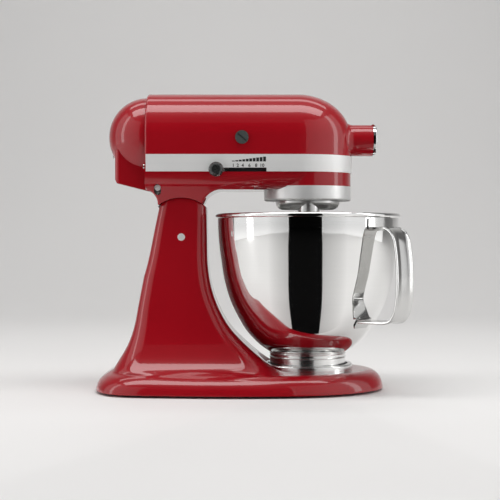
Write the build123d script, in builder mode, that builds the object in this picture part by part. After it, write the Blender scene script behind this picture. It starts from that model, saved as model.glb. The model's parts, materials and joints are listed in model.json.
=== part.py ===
"""Tilt-head stand mixer, built as separate pieces. Sizes in mm, +X to the hub end, +Z up."""
import os
from math import acos, atan2, cos, pi, radians, sin, sqrt, tan

from build123d import *

os.makedirs("parts", exist_ok=True)

# Clearances shared by all fits
RUN = 0.05
SEAT = 0.2
GAP = 0.4

# Length of a cut that runs right through
DEEP = 50.0

# Main axes
BOWL_X = 69.0
HEAD_Z = 296.7
ARCH_Z = 300.0
HINGE_X = -80.5
HINGE_Z = 181.0

# Head casings
HEAD_HALF = 52.0
NOSE_X = 56.5
NOSE_LEN = 64.0
SEAM_X = -122.0
SPLIT_Z = 267.0
HEAD_WALL = 4.0
HULL_LOW = 236.5
HULL_ROUND = 18.0
HULL_WALL = 5.0
SEAM_ROUND = 2.5

# Attachment hub on the nose
HUB_R = 18.7
HUB_END = 146.4
HUB_BORE_R = 13.0
HUB_BORE_END = 114.0
HUB_BOSS_BACK = 99.0
HUB_BLEND = 6.5
HUB_FLARE_END = 126.0
HUB_FLARE_LEN = 13.0
HUB_KNOB_X = 131.0
HUB_STUD_R = 3.0

# Hub cover and its hinge
COVER_T = 4.2
COVER_HINGE_DROP = 1.7
KNUCKLE_R = 1.9
KNUCKLE_HALF = 4.0
EAR_END = 7.5
COVER_PIN_R = 0.8
COVER_SWING_R = 3.7

# Rear cover and tail
DOME_LEN = 46.6
DOME_R = HEAD_HALF - HEAD_WALL - 0.5
DOME_Z = ARCH_Z
DOME_WALL = 3.0
DOME_SPIGOT = 5.0
DOME_LIP = 270.5
TAIL_HALF = 30.0
TAIL_BACK = -159.0
TAIL_TOP = 284.0
TAIL_ROUND = 5.0
TAIL_HEEL = 249.0
TAIL_SOLE = 244.3
TAIL_SOLE_IN = 2.5
TAIL_ROOT = 234.6
TAIL_SCREW_DROP = 6.0
COVER_SCREW_R = 1.8
COVER_SCREW_HEAD_R = 3.4
COVER_SCREW_HEAD = 2.4
COVER_SCREW_LEN = 18.0
COVER_SCREW_SINK = 7.0
GLAND_Y = 17.0
GLAND_Z = 256.0
GLAND_R = 6.0
GLAND_FLANGE_R = 8.0
GLAND_FLANGE_T = 2.4
GLAND_LEN = 12.0
GLAND_BORE_R = 3.6

# Neck over the column
NECK_TOP = 256.0
NECK_TOP_HALF = HEAD_HALF
NECK_LOW = 212.0
NECK_LOW_HALF = 32.0
NECK_GAP_R = 46.2
COLUMN_TOP_R = 44.0
NECK_RISE = 6.0
NECK_REAR_TOP = (-120.0, 236.0)
NECK_REAR_MID = (-111.4, 230.2)
NECK_REAR_LOW = (-108.2, 219.8)
NECK_FRONT_LOW = (-56.0, 219.5)
NECK_FRONT_MID = (-47.6, 231.6)
NECK_FRONT_TOP_X = -29.0
NECK_FRONT_END = 4.0
NECK_EDGE = 2.5

# Trim band and speed slot
BAND_LOW = 257.0
BAND_HIGH = 277.0
BAND_T = 1.4
BAND_SEAT = 0.1
BAND_BACK = -120.5
SLOT_BACK = -45.0
SLOT_FRONT = 19.0
SLOT_TOP = 261.4
LEVER_X = -39.0
LEVER_Z = 259.1
LEVER_W = 6.0
LEVER_T = 3.0
SLIDER_LEN = 30.0
SLIDER_W = 12.0
SLIDER_T = 2.0
LEVER_KNOB_R = 8.6
LEVER_REACH = 14.0
LEVER_KNOB_LEN = 10.5
SHROUD_LOW = 252.2
SHROUD_T = 1.5
SHROUD_W = 13.6

# Nose boss, ring and planetary
BOSS_R = 51.6
BOSS_LOW = 241.0
RING_R = 52.0
RING_LOW = 224.0
RING_T = 1.6
LIP_R = 41.0
FLOOR_LOW = 255.0
FLOOR_HIGH = 261.0
CARRIER_R = 38.2
CARRIER_LOW = 213.8
CARRIER_TOP = 242.5
CARRIER_ROUND = 9.0
BEATER_BOSS_R = 12.6
BEATER_BOSS_LOW = 206.0
CENTRE_SHAFT_R = 7.0
BEATER_SHAFT_R = 6.3
BEATER_SHAFT_LOW = 180.0
CARRIER_FLOOR = 8.0
CARRIER_WALL = 5.0
CARRIER_HUB = 7.0
CARRIER_PIN_R = 2.5
CARRIER_PIN_RISE = 16.0
SHAFT_SEAT = 6.0
SHAFT_TOP = 288.0
CROSS_PIN_R = 1.9
CROSS_PIN_LEN = 25.0
CROSS_PIN_Z = 199.0
RING_EDGE = 2.4

# Gears
PRESSURE = radians(20)
RING_MODULE = 1.5
RING_TEETH = 48
PLANET_TEETH = 14
SPUR_MODULE = 2.0
CENTRE_TEETH = 34
PINION_TEETH = 12
WHEEL_MODULE = 1.5
WHEEL_TEETH = 20
WORM_R = 7.0
WHEEL_Y = 22.0
BEVEL_R = 25.0
BEVEL_TEETH = 18
BEVEL_INNER = 0.7
ADDENDUM = 0.8
DEDENDUM = 1.1
SLIM = 0.84

# Motor
BRUSH_X = -9.4
CORE_BACK = -80.0
CORE_FRONT = -28.0
CORE_R = 21.0
AIR_GAP = 0.6
STATOR_R = 40.0
MOTOR_SHAFT_R = 4.5
COMMUTATOR_R = 12.0
FAN_R = 30.0
BRUSH_TUBE_R = 6.5
BRUSH_CAP_R = 7.8
CORE_SLOTS = 12
WINDING_OUT = 7.0
WINDING_IN = 3.0
WINDING_ROUND = 2.5
COMMUTATOR_LEN = 16.0
COMMUTATOR_BARS = 16
FAN_X = -101.0
FAN_T = 1.5
FAN_DEEP = 9.0
FAN_HUB_R = 9.0
FAN_BLADES = 10
STATOR_WALL = 6.0
BUSH_R = 8.0
EYE_R = 13.0
BRACKET_W = 18.0
COIL_T = 4.6
COIL_LIFT = 24.8
POLE_W = 22.0
TUBE_WALL = 1.5
BRUSH_SIZE = (7.2, 15.0, 6.2)

# Base and column
BASE_LOW = 2.5
BASE_TOP = 24.0
BASE_ROUND = 18.0
BASE_SKIN = 7.0
BASE_RIM = 14.0
FOOT_R = 11.0
COLUMN_WALL = 4.0
COLUMN_FLOOR = 6.0
SCREW_BOSS_R = 8.0
SCREW_BOSS_H = 26.0
TONGUE_HALF = 20.0
PIN_R = 4.4
PIN_HALF = 34.2
LOCK_X = -107.6
LOCK_Z = 238.5
LOCK_R = 3.6
LOCK_DROP = 4.5

# Bowl
RIM_R = 108.9
RIM_Z = 206.6
RIM_ROLL = 2.2
BOWL_T = 1.4
BOWL_FLOOR = BASE_TOP + 20.5
BOWL_FOOT_R = 45.0
BOWL_FOOT_LOW = BASE_TOP + 3.6
CLAMP_R = 53.5
CLAMP_TOP = BASE_TOP + 7.0
HANDLE_TURN = -42.0
STRAP_HALF = 16.0
STRAP_T = 2.2

FLAT = (Align.CENTER, Align.CENTER, Align.MIN)


def along_x(x, y, z):
    """Place with local Z turned to +X."""
    return Location((x, y, z), (0, 90, 0))


def along_y(x, y, z):
    """Place with local Z turned to +Y."""
    return Location((x, y, z), (-90, 0, 0))


def bar(radius, length, mode=Mode.ADD):
    """Round bar that starts at the current place."""
    return Cylinder(radius, length, align=FLAT, mode=mode)


def save(solid, label):
    """Label a finished piece and write it out."""
    solid.label = label
    export_step(solid, f"parts/{label}.step")


def inv(angle):
    """Involute of an angle."""
    return tan(angle) - angle


def gear_points(teeth, module, r_root, r_tip, slim, phase, shrink=1.0):
    """Outline of a gear with involute flanks, with the first tooth at the phase angle."""
    pitch_r = module * teeth / 2
    base_r = pitch_r * cos(PRESSURE)
    points = []
    for index in range(teeth):
        middle = phase + 2 * pi * index / teeth
        flank = []
        for share in (0.0, 0.5, 1.0):
            radius = r_root + (r_tip - r_root) * share
            lean = inv(acos(min(1.0, base_r / radius)))
            half = slim * pi / (2 * teeth) + inv(PRESSURE) - lean
            flank.append((radius * shrink, half))
        for radius, half in flank:
            points.append((radius * cos(middle - half), radius * sin(middle - half)))
        for radius, half in reversed(flank):
            points.append((radius * cos(middle + half), radius * sin(middle + half)))
    return points


def spur_points(teeth, module, phase):
    """Outline of an outside spur gear with backlash."""
    pitch_r = module * teeth / 2
    return gear_points(
        teeth, module, pitch_r - DEDENDUM * module, pitch_r + ADDENDUM * module, SLIM, phase
    )


def head_block(half, nose, x_back, z_low):
    """Solid of the head above a level: arched body with an egg-shaped nose."""
    with BuildPart() as block:
        with BuildSketch(Plane.YZ.offset(x_back)):
            with Locations((0, ARCH_Z)):
                Circle(half)
                Rectangle(4 * half, 2 * half, align=(Align.CENTER, Align.MAX), mode=Mode.SUBTRACT)
            with Locations((0, z_low)):
                Rectangle(2 * half, ARCH_Z - z_low, align=(Align.CENTER, Align.MIN))
        extrude(amount=NOSE_X - x_back)
        with BuildSketch(Plane.XY.offset(z_low)):
            with Locations((NOSE_X, 0)):
                Ellipse(nose, half)
                Rectangle(2 * nose, 4 * half, align=(Align.MAX, Align.CENTER), mode=Mode.SUBTRACT)
        extrude(amount=ARCH_Z - z_low)
        with BuildSketch(Plane.XY.offset(ARCH_Z)):
            with Locations((NOSE_X, 0)):
                Ellipse(nose, half)
                Rectangle(2 * nose, 4 * half, align=(Align.MAX, Align.CENTER), mode=Mode.SUBTRACT)
                Rectangle(4 * nose, 2 * half, align=(Align.CENTER, Align.MAX), mode=Mode.SUBTRACT)
        revolve(axis=Axis((0, 0, ARCH_Z), (1, 0, 0)), revolution_arc=180)
    return block.part


def u_outline(half, nose, x_back, mode=Mode.ADD):
    """Plan outline of the head: straight sides and a rounded nose."""
    with Locations(((x_back + NOSE_X) / 2, 0)):
        Rectangle(NOSE_X - x_back + 0.001, 2 * half, mode=mode)
    with Locations((NOSE_X, 0)):
        Ellipse(nose, half, mode=mode)


def neck_solid():
    """Neck block: side outline crossed with a front outline that narrows downwards."""
    top = NECK_TOP + NECK_RISE
    with BuildPart() as side:
        with BuildSketch(Plane.XZ.offset(-HEAD_HALF)):
            with BuildLine():
                Polyline((NECK_FRONT_END, top), (SEAM_X + 0.5, top), NECK_REAR_TOP)
                ThreePointArc(NECK_REAR_TOP, NECK_REAR_MID, NECK_REAR_LOW)
                Polyline(NECK_REAR_LOW, (HINGE_X, HINGE_Z), NECK_FRONT_LOW)
                ThreePointArc(NECK_FRONT_LOW, NECK_FRONT_MID, (NECK_FRONT_TOP_X, HULL_LOW))
                Polyline((NECK_FRONT_TOP_X, HULL_LOW), (NECK_FRONT_END, HULL_LOW), (NECK_FRONT_END, top))
            make_face()
        extrude(amount=2 * HEAD_HALF)
        with BuildSketch(Plane.YZ.offset(SEAM_X)):
            with BuildLine():
                Polyline(
                    (-NECK_TOP_HALF, top),
                    (-NECK_TOP_HALF, NECK_TOP),
                    (-NECK_LOW_HALF, NECK_LOW),
                    (-NECK_LOW_HALF, HINGE_Z),
                    (NECK_LOW_HALF, HINGE_Z),
                    (NECK_LOW_HALF, NECK_LOW),
                    (NECK_TOP_HALF, NECK_TOP),
                    (NECK_TOP_HALF, top),
                    close=True,
                )
            make_face()
        extrude(amount=3 * HEAD_HALF, mode=Mode.INTERSECT)
        rounded = side.edges().filter_by_position(Axis.Z, NECK_LOW + 3, NECK_TOP - 6)
        rounded = rounded.filter_by(lambda e: abs(e.center().Y) > NECK_LOW_HALF / 2)
        rounded = rounded.filter_by(lambda e: abs(e.center().X - HINGE_X) < 40)
        fillet(rounded.filter_by(GeomType.LINE, reverse=True), NECK_EDGE)
    return side.part


def tail_solid(grow=0.0):
    """Spine behind the neck that carries the rear cover."""
    with BuildPart() as tail:
        with BuildSketch(Plane.XZ.offset(-TAIL_HALF - grow)):
            Polygon(
                (TAIL_BACK - grow, TAIL_TOP),
                (TAIL_BACK - grow, TAIL_HEEL),
                (TAIL_BACK + TAIL_SOLE_IN, TAIL_SOLE),
                (SEAM_X + 4, TAIL_ROOT),
                (SEAM_X + 4, SPLIT_Z - 1),
                (SEAM_X - 2, SPLIT_Z - 1),
                (SEAM_X - 18, TAIL_TOP),
                align=None,
            )
        extrude(amount=2 * (TAIL_HALF + grow))
        corners = tail.edges().filter_by(Axis.Z).group_by(Axis.X)[0]
        fillet(corners, TAIL_ROUND)
    return tail.part


# Motor housing: upper head casing with the attachment hub
cover_pivot_x = HUB_END + 0.5
cover_pivot_z = HEAD_Z + HUB_R - COVER_HINGE_DROP
upper_low = SPLIT_Z + SEAT
inner_half = HEAD_HALF - HEAD_WALL
inner_nose = NOSE_LEN - HEAD_WALL
bush_r = HUB_BORE_R - 1.5
RIB_T = 4.0
with BuildPart() as inside:
    add(head_block(inner_half, inner_nose, SEAM_X - 5, upper_low - 5))
    with Locations(along_x(HUB_BOSS_BACK, 0, HEAD_Z)):
        bar(HUB_R - 1.5, HUB_END, mode=Mode.SUBTRACT)
with BuildPart() as ribs:
    for rib_x in (CORE_BACK + 8, CORE_FRONT - 8):
        with BuildSketch(Plane.YZ.offset(rib_x - RIB_T / 2)):
            with Locations((0, ARCH_Z)):
                Circle(inner_half + 1)
                Rectangle(3 * inner_half, 2 * inner_half, align=(Align.CENTER, Align.MAX), mode=Mode.SUBTRACT)
            with Locations((0, HEAD_Z)):
                Circle(STATOR_R + SEAT, mode=Mode.SUBTRACT)
        extrude(amount=RIB_T)
with BuildPart() as motor_housing:
    add(head_block(HEAD_HALF, NOSE_LEN, SEAM_X, upper_low))
    rear_edges = motor_housing.edges().filter_by(Plane.YZ).group_by(Axis.X)[0]
    fillet(rear_edges.sort_by(Axis.Z)[1:], SEAM_ROUND)
    with Locations(along_x(HUB_BOSS_BACK, 0, HEAD_Z)):
        bar(HUB_R, HUB_END - HUB_BOSS_BACK)
    with BuildSketch(Plane.XZ):
        with BuildLine():
            ThreePointArc(
                (HUB_FLARE_END, HEAD_Z + HUB_R),
                (HUB_FLARE_END - 0.62 * HUB_FLARE_LEN, HEAD_Z + HUB_R + 0.24 * HUB_BLEND),
                (HUB_FLARE_END - HUB_FLARE_LEN, HEAD_Z + HUB_R + HUB_BLEND),
            )
            Polyline(
                (HUB_FLARE_END - HUB_FLARE_LEN, HEAD_Z + HUB_R + HUB_BLEND),
                (HUB_BOSS_BACK, HEAD_Z + HUB_R - 2),
                (HUB_BOSS_BACK, HEAD_Z + HUB_R - 4),
                (HUB_FLARE_END, HEAD_Z + HUB_R - 4),
                (HUB_FLARE_END, HEAD_Z + HUB_R),
            )
        make_face()
    revolve(axis=Axis((0, 0, HEAD_Z), (1, 0, 0)))
    with BuildSketch(Plane.XY.offset(upper_low - 1)):
        u_outline(HEAD_HALF + 20, NOSE_LEN + 20, NOSE_X)
        u_outline(HEAD_HALF + BAND_SEAT / 2, NOSE_LEN + BAND_SEAT / 2, NOSE_X - 1, mode=Mode.SUBTRACT)
    extrude(amount=BAND_HIGH + SEAT - upper_low + 1, mode=Mode.SUBTRACT)
    add(inside.part, mode=Mode.SUBTRACT)
    add(ribs.part)
    with Locations(along_x(HUB_BORE_END, 0, HEAD_Z)):
        bar(HUB_BORE_R, HUB_END, mode=Mode.SUBTRACT)
    with Locations(along_x(HUB_BOSS_BACK - 1, 0, HEAD_Z)):
        bar(bush_r, HUB_END, mode=Mode.SUBTRACT)
    with Locations(along_y(HUB_KNOB_X, 0, HEAD_Z)):
        bar(HUB_STUD_R + RUN, 2 * HUB_R, mode=Mode.SUBTRACT)
    with Locations(along_y(BRUSH_X, -2 * HEAD_HALF, HEAD_Z)):
        bar(BRUSH_TUBE_R + RUN, 4 * HEAD_HALF, mode=Mode.SUBTRACT)
    for side in (-1, 1):
        ear_start = KNUCKLE_HALF + SEAT if side > 0 else -EAR_END
        with Locations(along_y(cover_pivot_x, ear_start, cover_pivot_z)):
            bar(KNUCKLE_R, EAR_END - KNUCKLE_HALF - SEAT)
    with Locations(along_y(cover_pivot_x, -KNUCKLE_HALF - SEAT, cover_pivot_z)):
        bar(COVER_SWING_R, 2 * (KNUCKLE_HALF + SEAT), mode=Mode.SUBTRACT)
    with Locations(along_y(cover_pivot_x, -EAR_END, cover_pivot_z)):
        bar(COVER_PIN_R, 2 * EAR_END, mode=Mode.SUBTRACT)
save(motor_housing.part, "motor_housing")

# Hub cover: polished cap that flips up on a pin
with BuildPart() as hub_cover:
    with Locations(along_x(HUB_END + GAP, 0, HEAD_Z)):
        bar(HUB_R, COVER_T)
    fillet(hub_cover.edges().group_by(Axis.X)[-1], 1.6)
    for side in (-1, 1):
        ear_start = KNUCKLE_HALF if side > 0 else -EAR_END - GAP
        with Locations(along_y(cover_pivot_x, ear_start, cover_pivot_z)):
            bar(KNUCKLE_R + GAP, EAR_END + GAP - KNUCKLE_HALF, mode=Mode.SUBTRACT)
    with Locations(along_y(cover_pivot_x, -KNUCKLE_HALF, cover_pivot_z)):
        bar(KNUCKLE_R, 2 * KNUCKLE_HALF)
    with Locations(along_y(cover_pivot_x, -EAR_END, cover_pivot_z)):
        bar(COVER_PIN_R + RUN, 2 * EAR_END, mode=Mode.SUBTRACT)
save(hub_cover.part, "hub_cover")

with BuildPart() as hub_cover_pin:
    with Locations(along_y(cover_pivot_x, -EAR_END, cover_pivot_z)):
        bar(COVER_PIN_R, 2 * EAR_END)
save(hub_cover_pin.part, "hub_cover_pin")

# Thumb knob that clamps an attachment in the hub, on the far side
KNOB_R = 10.5
KNOB_LEN = 13.0
KNOB_START = HUB_R + 5.0
with BuildPart() as attachment_knob:
    with Locations(along_y(HUB_KNOB_X, HUB_BORE_R + 1.0, HEAD_Z)):
        bar(HUB_STUD_R, KNOB_START - HUB_BORE_R)
    with Locations(along_y(HUB_KNOB_X, KNOB_START, HEAD_Z)):
        bar(KNOB_R, KNOB_LEN)
        with PolarLocations(KNOB_R + 1.6, 9):
            bar(2.6, KNOB_LEN, mode=Mode.SUBTRACT)
    fillet(attachment_knob.edges().group_by(Axis.Y)[-1], 1.2)
save(attachment_knob.part, "attachment_knob")

# Gear housing: lower head casing with nose boss, neck, tail and hinge tongue
wheel_x = BOWL_X - sqrt((SPUR_MODULE * (CENTRE_TEETH + PINION_TEETH) / 2) ** 2 - WHEEL_Y**2)
CENTRE_BUSH_R = 10.0
WHEEL_SHAFT_R = 5.0
WHEEL_BUSH_R = 7.5
RING_RIM = 6.0
ring_out_r = RING_MODULE * RING_TEETH / 2 + RING_RIM
POCKET_FRONT = 12.0
POCKET_LOW = 252.0
TRENCH_LOW = 244.0
TRENCH_W = 70.0
TONGUE_EYE_R = 13.0
TONGUE_ARM = [(-9, 8), (15, 43.5), (17, 50), (29, 46), (24.5, 36), (12.5, -2)]
BAND_SCREW_IN = 3.4
BAND_SCREW_Z = 263.0
BAND_SCREW_R = 1.4
BAND_SCREW_LEN = 12.0
BAND_SCREW_HEAD = 1.6
gear_top = SPLIT_Z - SEAT
cover_screw_z = TAIL_TOP - TAIL_SCREW_DROP
with BuildPart() as gear_housing:
    with BuildSketch(Plane.XY.offset(HULL_LOW)):
        u_outline(HEAD_HALF, NOSE_LEN, SEAM_X)
    extrude(amount=gear_top - HULL_LOW)
    low_edges = gear_housing.edges().group_by(Axis.Z)[0]
    fillet(low_edges.filter_by(lambda e: e.center().X > SEAM_X + 1), HULL_ROUND)
    add(neck_solid())
    add(tail_solid())
    with Locations((BOWL_X, 0, BOSS_LOW)):
        bar(BOSS_R, BAND_LOW - SEAT - BOSS_LOW)
    with Locations((BOWL_X, 0, BOSS_LOW)):
        Cylinder(RING_R + GAP, 4 * RING_R, align=(Align.CENTER, Align.CENTER, Align.MAX), mode=Mode.SUBTRACT)
    with Locations((BOWL_X, 0, FLOOR_LOW)):
        Cylinder(ring_out_r + SEAT, 40, align=(Align.CENTER, Align.CENTER, Align.MAX), mode=Mode.SUBTRACT)
    with BuildSketch(Plane.XY.offset(FLOOR_HIGH)):
        u_outline(HEAD_HALF - HULL_WALL, NOSE_LEN - HULL_WALL, SEAM_X + HULL_WALL)
    extrude(amount=DEEP, mode=Mode.SUBTRACT)
    with Locations((SEAM_X + HULL_WALL, 0, POCKET_LOW)):
        Box(POCKET_FRONT - SEAM_X - HULL_WALL, 2 * (HEAD_HALF - HULL_WALL), DEEP,
            align=(Align.MIN, Align.CENTER, Align.MIN), mode=Mode.SUBTRACT)
    with Locations((SEAM_X + HULL_WALL, 0, TRENCH_LOW)):
        Box(POCKET_FRONT - SEAM_X - HULL_WALL, TRENCH_W, DEEP,
            align=(Align.MIN, Align.CENTER, Align.MIN), mode=Mode.SUBTRACT)
    with Locations((SLOT_BACK - 26, -(HEAD_HALF - HULL_WALL), SHROUD_LOW - 0.6)):
        Box(SLOT_FRONT - SLOT_BACK + 53, 7, DEEP, align=(Align.MIN, Align.MIN, Align.MIN), mode=Mode.SUBTRACT)
    with Locations((BOWL_X, 0, FLOOR_LOW - 1)):
        bar(CENTRE_BUSH_R, 20, mode=Mode.SUBTRACT)
    with Locations((wheel_x, WHEEL_Y, FLOOR_LOW + 1)):
        bar(WHEEL_BUSH_R, 20, mode=Mode.SUBTRACT)
    slot_len = SLOT_FRONT - SLOT_BACK
    with Locations((SLOT_BACK, -HEAD_HALF, BAND_LOW - SEAT)):
        Box(slot_len, 30, SLOT_TOP + SEAT - BAND_LOW + SEAT,
            align=(Align.MIN, Align.CENTER, Align.MIN), mode=Mode.SUBTRACT)
    with Locations(along_y(HINGE_X, -2 * HEAD_HALF, HINGE_Z)):
        bar(NECK_GAP_R, 4 * HEAD_HALF, mode=Mode.SUBTRACT)
    lock_slot_w = 2 * (LOCK_R + GAP)
    with BuildSketch(Plane.XZ.offset(-2 * HEAD_HALF)):
        with Locations((LOCK_X, LOCK_Z - LOCK_DROP / 2)):
            SlotCenterToCenter(LOCK_DROP, lock_slot_w, rotation=90)
    extrude(amount=4 * HEAD_HALF, mode=Mode.SUBTRACT)
    with BuildSketch(Plane.XZ.offset(-TONGUE_HALF)):
        with Locations((HINGE_X, HINGE_Z)):
            Polygon(*TONGUE_ARM, align=None)
            Circle(TONGUE_EYE_R)
            Circle(PIN_R + RUN, mode=Mode.SUBTRACT)
    extrude(amount=2 * TONGUE_HALF)
    with Locations(along_x(TAIL_BACK - 1, 0, cover_screw_z)):
        bar(COVER_SCREW_R, 20, mode=Mode.SUBTRACT)
    with Locations(along_x(TAIL_BACK - 1, GLAND_Y, GLAND_Z)):
        bar(GLAND_R, GLAND_LEN + 2, mode=Mode.SUBTRACT)
    for side in (-1, 1):
        with Locations(along_x(SEAM_X - 1, side * (HEAD_HALF - BAND_SCREW_IN), BAND_SCREW_Z)):
            bar(BAND_SCREW_R, BAND_SCREW_LEN, mode=Mode.SUBTRACT)
save(gear_housing.part, "gear_housing")

# Rear cover: egg-shaped end of the head, closed by a very small flat at its tip
DOME_SWEEP = 88.8
DOME_STEPS = 12
DOME_ENDS = ((-1, 0), (-0.06, -1))


def dome_line(draw_in):
    """Points of the dome's side line, from the seam to the tip."""
    turns = [radians(90 + DOME_SWEEP * step / DOME_STEPS) for step in range(DOME_STEPS + 1)]
    return [(SEAM_X - SEAT + (DOME_LEN - draw_in) * cos(t), (DOME_R - draw_in) * sin(t)) for t in turns]


with BuildPart() as rear_cover:
    with BuildSketch(Plane.XY.offset(DOME_Z)):
        with BuildLine():
            outer_arc = Spline(*dome_line(0), tangents=DOME_ENDS)
            inner_arc = Spline(*dome_line(DOME_WALL), tangents=DOME_ENDS)
            Polyline(outer_arc @ 1, ((outer_arc @ 1).X, 0), ((inner_arc @ 1).X, 0), inner_arc @ 1)
            Polyline(
                inner_arc @ 0,
                (SEAM_X + DOME_SPIGOT, DOME_R - DOME_WALL),
                (SEAM_X + DOME_SPIGOT, DOME_R),
                outer_arc @ 0,
            )
        make_face()
    revolve(axis=Axis((0, 0, DOME_Z), (1, 0, 0)))
    with Locations((SEAM_X - SEAT, 0, SPLIT_Z + 1)):
        Box(40, 200, 200, align=(Align.MIN, Align.CENTER, Align.MAX), mode=Mode.SUBTRACT)
    add(tail_solid(GAP), mode=Mode.SUBTRACT)
    with Locations((SEAM_X - 28, 0, DOME_LIP)):
        Box(60, 2 * TAIL_HALF, 60, align=(Align.MAX, Align.CENTER, Align.MAX), mode=Mode.SUBTRACT)
    with Locations(along_x(TAIL_BACK - 20, 0, cover_screw_z)):
        bar(COVER_SCREW_HEAD_R + GAP, 20 - COVER_SCREW_SINK + COVER_SCREW_HEAD, mode=Mode.SUBTRACT)
        bar(COVER_SCREW_R + SEAT, 40, mode=Mode.SUBTRACT)
save(rear_cover.part, "rear_cover")

with BuildPart() as rear_cover_screw:
    with Locations(along_x(TAIL_BACK - COVER_SCREW_SINK, 0, cover_screw_z)):
        bar(COVER_SCREW_HEAD_R, COVER_SCREW_HEAD)
        bar(COVER_SCREW_R, COVER_SCREW_LEN)
    with Locations((TAIL_BACK - COVER_SCREW_SINK, 0, cover_screw_z)):
        Box(2.0, 5, 1.0, mode=Mode.SUBTRACT)
save(rear_cover_screw.part, "rear_cover_screw")

# Trim band around the head, with the notch for the speed lever
with BuildPart() as trim_band:
    with BuildSketch(Plane.XY.offset(BAND_LOW)):
        u_outline(HEAD_HALF + BAND_T, NOSE_LEN + BAND_T, BAND_BACK)
    extrude(amount=BAND_HIGH - BAND_LOW)
    with BuildSketch(Plane.XY.offset(BAND_LOW)):
        u_outline(HEAD_HALF + BAND_SEAT, NOSE_LEN + BAND_SEAT, BAND_BACK - 10)
    extrude(amount=BAND_HIGH - BAND_LOW, mode=Mode.SUBTRACT)
    with Locations((SLOT_BACK, -HEAD_HALF, BAND_LOW)):
        Box(SLOT_FRONT - SLOT_BACK, 10, SLOT_TOP - BAND_LOW,
            align=(Align.MIN, Align.CENTER, Align.MIN), mode=Mode.SUBTRACT)
save(trim_band.part, "trim_band")

with BuildPart() as trim_band_screws:
    for side in (-1, 1):
        with Locations(along_x(SEAM_X - BAND_SCREW_HEAD, side * (HEAD_HALF - BAND_SCREW_IN), BAND_SCREW_Z)):
            bar(2 * BAND_SCREW_R, BAND_SCREW_HEAD)
            bar(BAND_SCREW_R, BAND_SCREW_LEN)
save(trim_band_screws.part, "trim_band_screws")

# Speed lever with its slider, knob and the dark strip behind the slot
slot_wall = -(HEAD_HALF - HULL_WALL)
shroud_y = slot_wall + SLIDER_T + GAP + 1.0
with BuildPart() as speed_lever:
    with Locations((LEVER_X, slot_wall + GAP, LEVER_Z)):
        Box(SLIDER_LEN, SLIDER_T, SLIDER_W, align=(Align.CENTER, Align.MIN, Align.CENTER))
        Box(LEVER_W, LEVER_REACH, LEVER_T, align=(Align.CENTER, Align.MAX, Align.CENTER))
save(speed_lever.part, "speed_lever")

knob_face = -(HEAD_HALF + BAND_T + 12.0)
knob_root = knob_face + LEVER_KNOB_LEN
with BuildPart() as speed_knob:
    with BuildSketch(Plane.YZ.offset(LEVER_X)):
        with BuildLine():
            Polyline((knob_root, 0), (knob_root, 4.0), (knob_root - 2.0, 6.0))
            Spline((knob_root - 2.0, 6.0), (knob_face + 5.0, LEVER_KNOB_R), (knob_face + 0.8, 6.6))
            Polyline((knob_face + 0.8, 6.6), (knob_face, 5.2), (knob_face, 4.6))
            Line((knob_face, 4.6), (knob_face + 0.8, 4.2))
            Line((knob_face + 0.8, 4.2), (knob_face + 0.8, 0))
            Line((knob_face + 0.8, 0), (knob_root, 0))
        make_face()
    revolve(axis=Axis((LEVER_X, 0, 0), (0, 1, 0)))
with BuildPart() as speed_knob_placed:
    add(Pos(0, 0, LEVER_Z) * speed_knob.part)
    with Locations((LEVER_X, knob_face + 4.0, LEVER_Z)):
        Box(LEVER_W, 20.0, LEVER_T, align=(Align.CENTER, Align.MIN, Align.CENTER), mode=Mode.SUBTRACT)
save(speed_knob_placed.part, "speed_knob")

with BuildPart() as slot_shroud:
    with Locations(((SLOT_BACK + SLOT_FRONT) / 2, shroud_y, SHROUD_LOW)):
        Box(SLOT_FRONT - SLOT_BACK + 20, SHROUD_T, SHROUD_W, align=(Align.CENTER, Align.MIN, Align.MIN))
save(slot_shroud.part, "slot_shroud")

# Drip ring under the nose
with BuildPart() as drip_ring:
    with Locations((BOWL_X, 0, RING_LOW)):
        bar(RING_R, BOSS_LOW - RING_LOW)
    fillet(drip_ring.edges().group_by(Axis.Z)[0], RING_EDGE)
    with Locations((BOWL_X, 0, RING_LOW + RING_T)):
        bar(RING_R - RING_T, BOSS_LOW, mode=Mode.SUBTRACT)
    with Locations((BOWL_X, 0, RING_LOW - 1)):
        bar(LIP_R, BOSS_LOW, mode=Mode.SUBTRACT)
save(drip_ring.part, "drip_ring")

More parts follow.
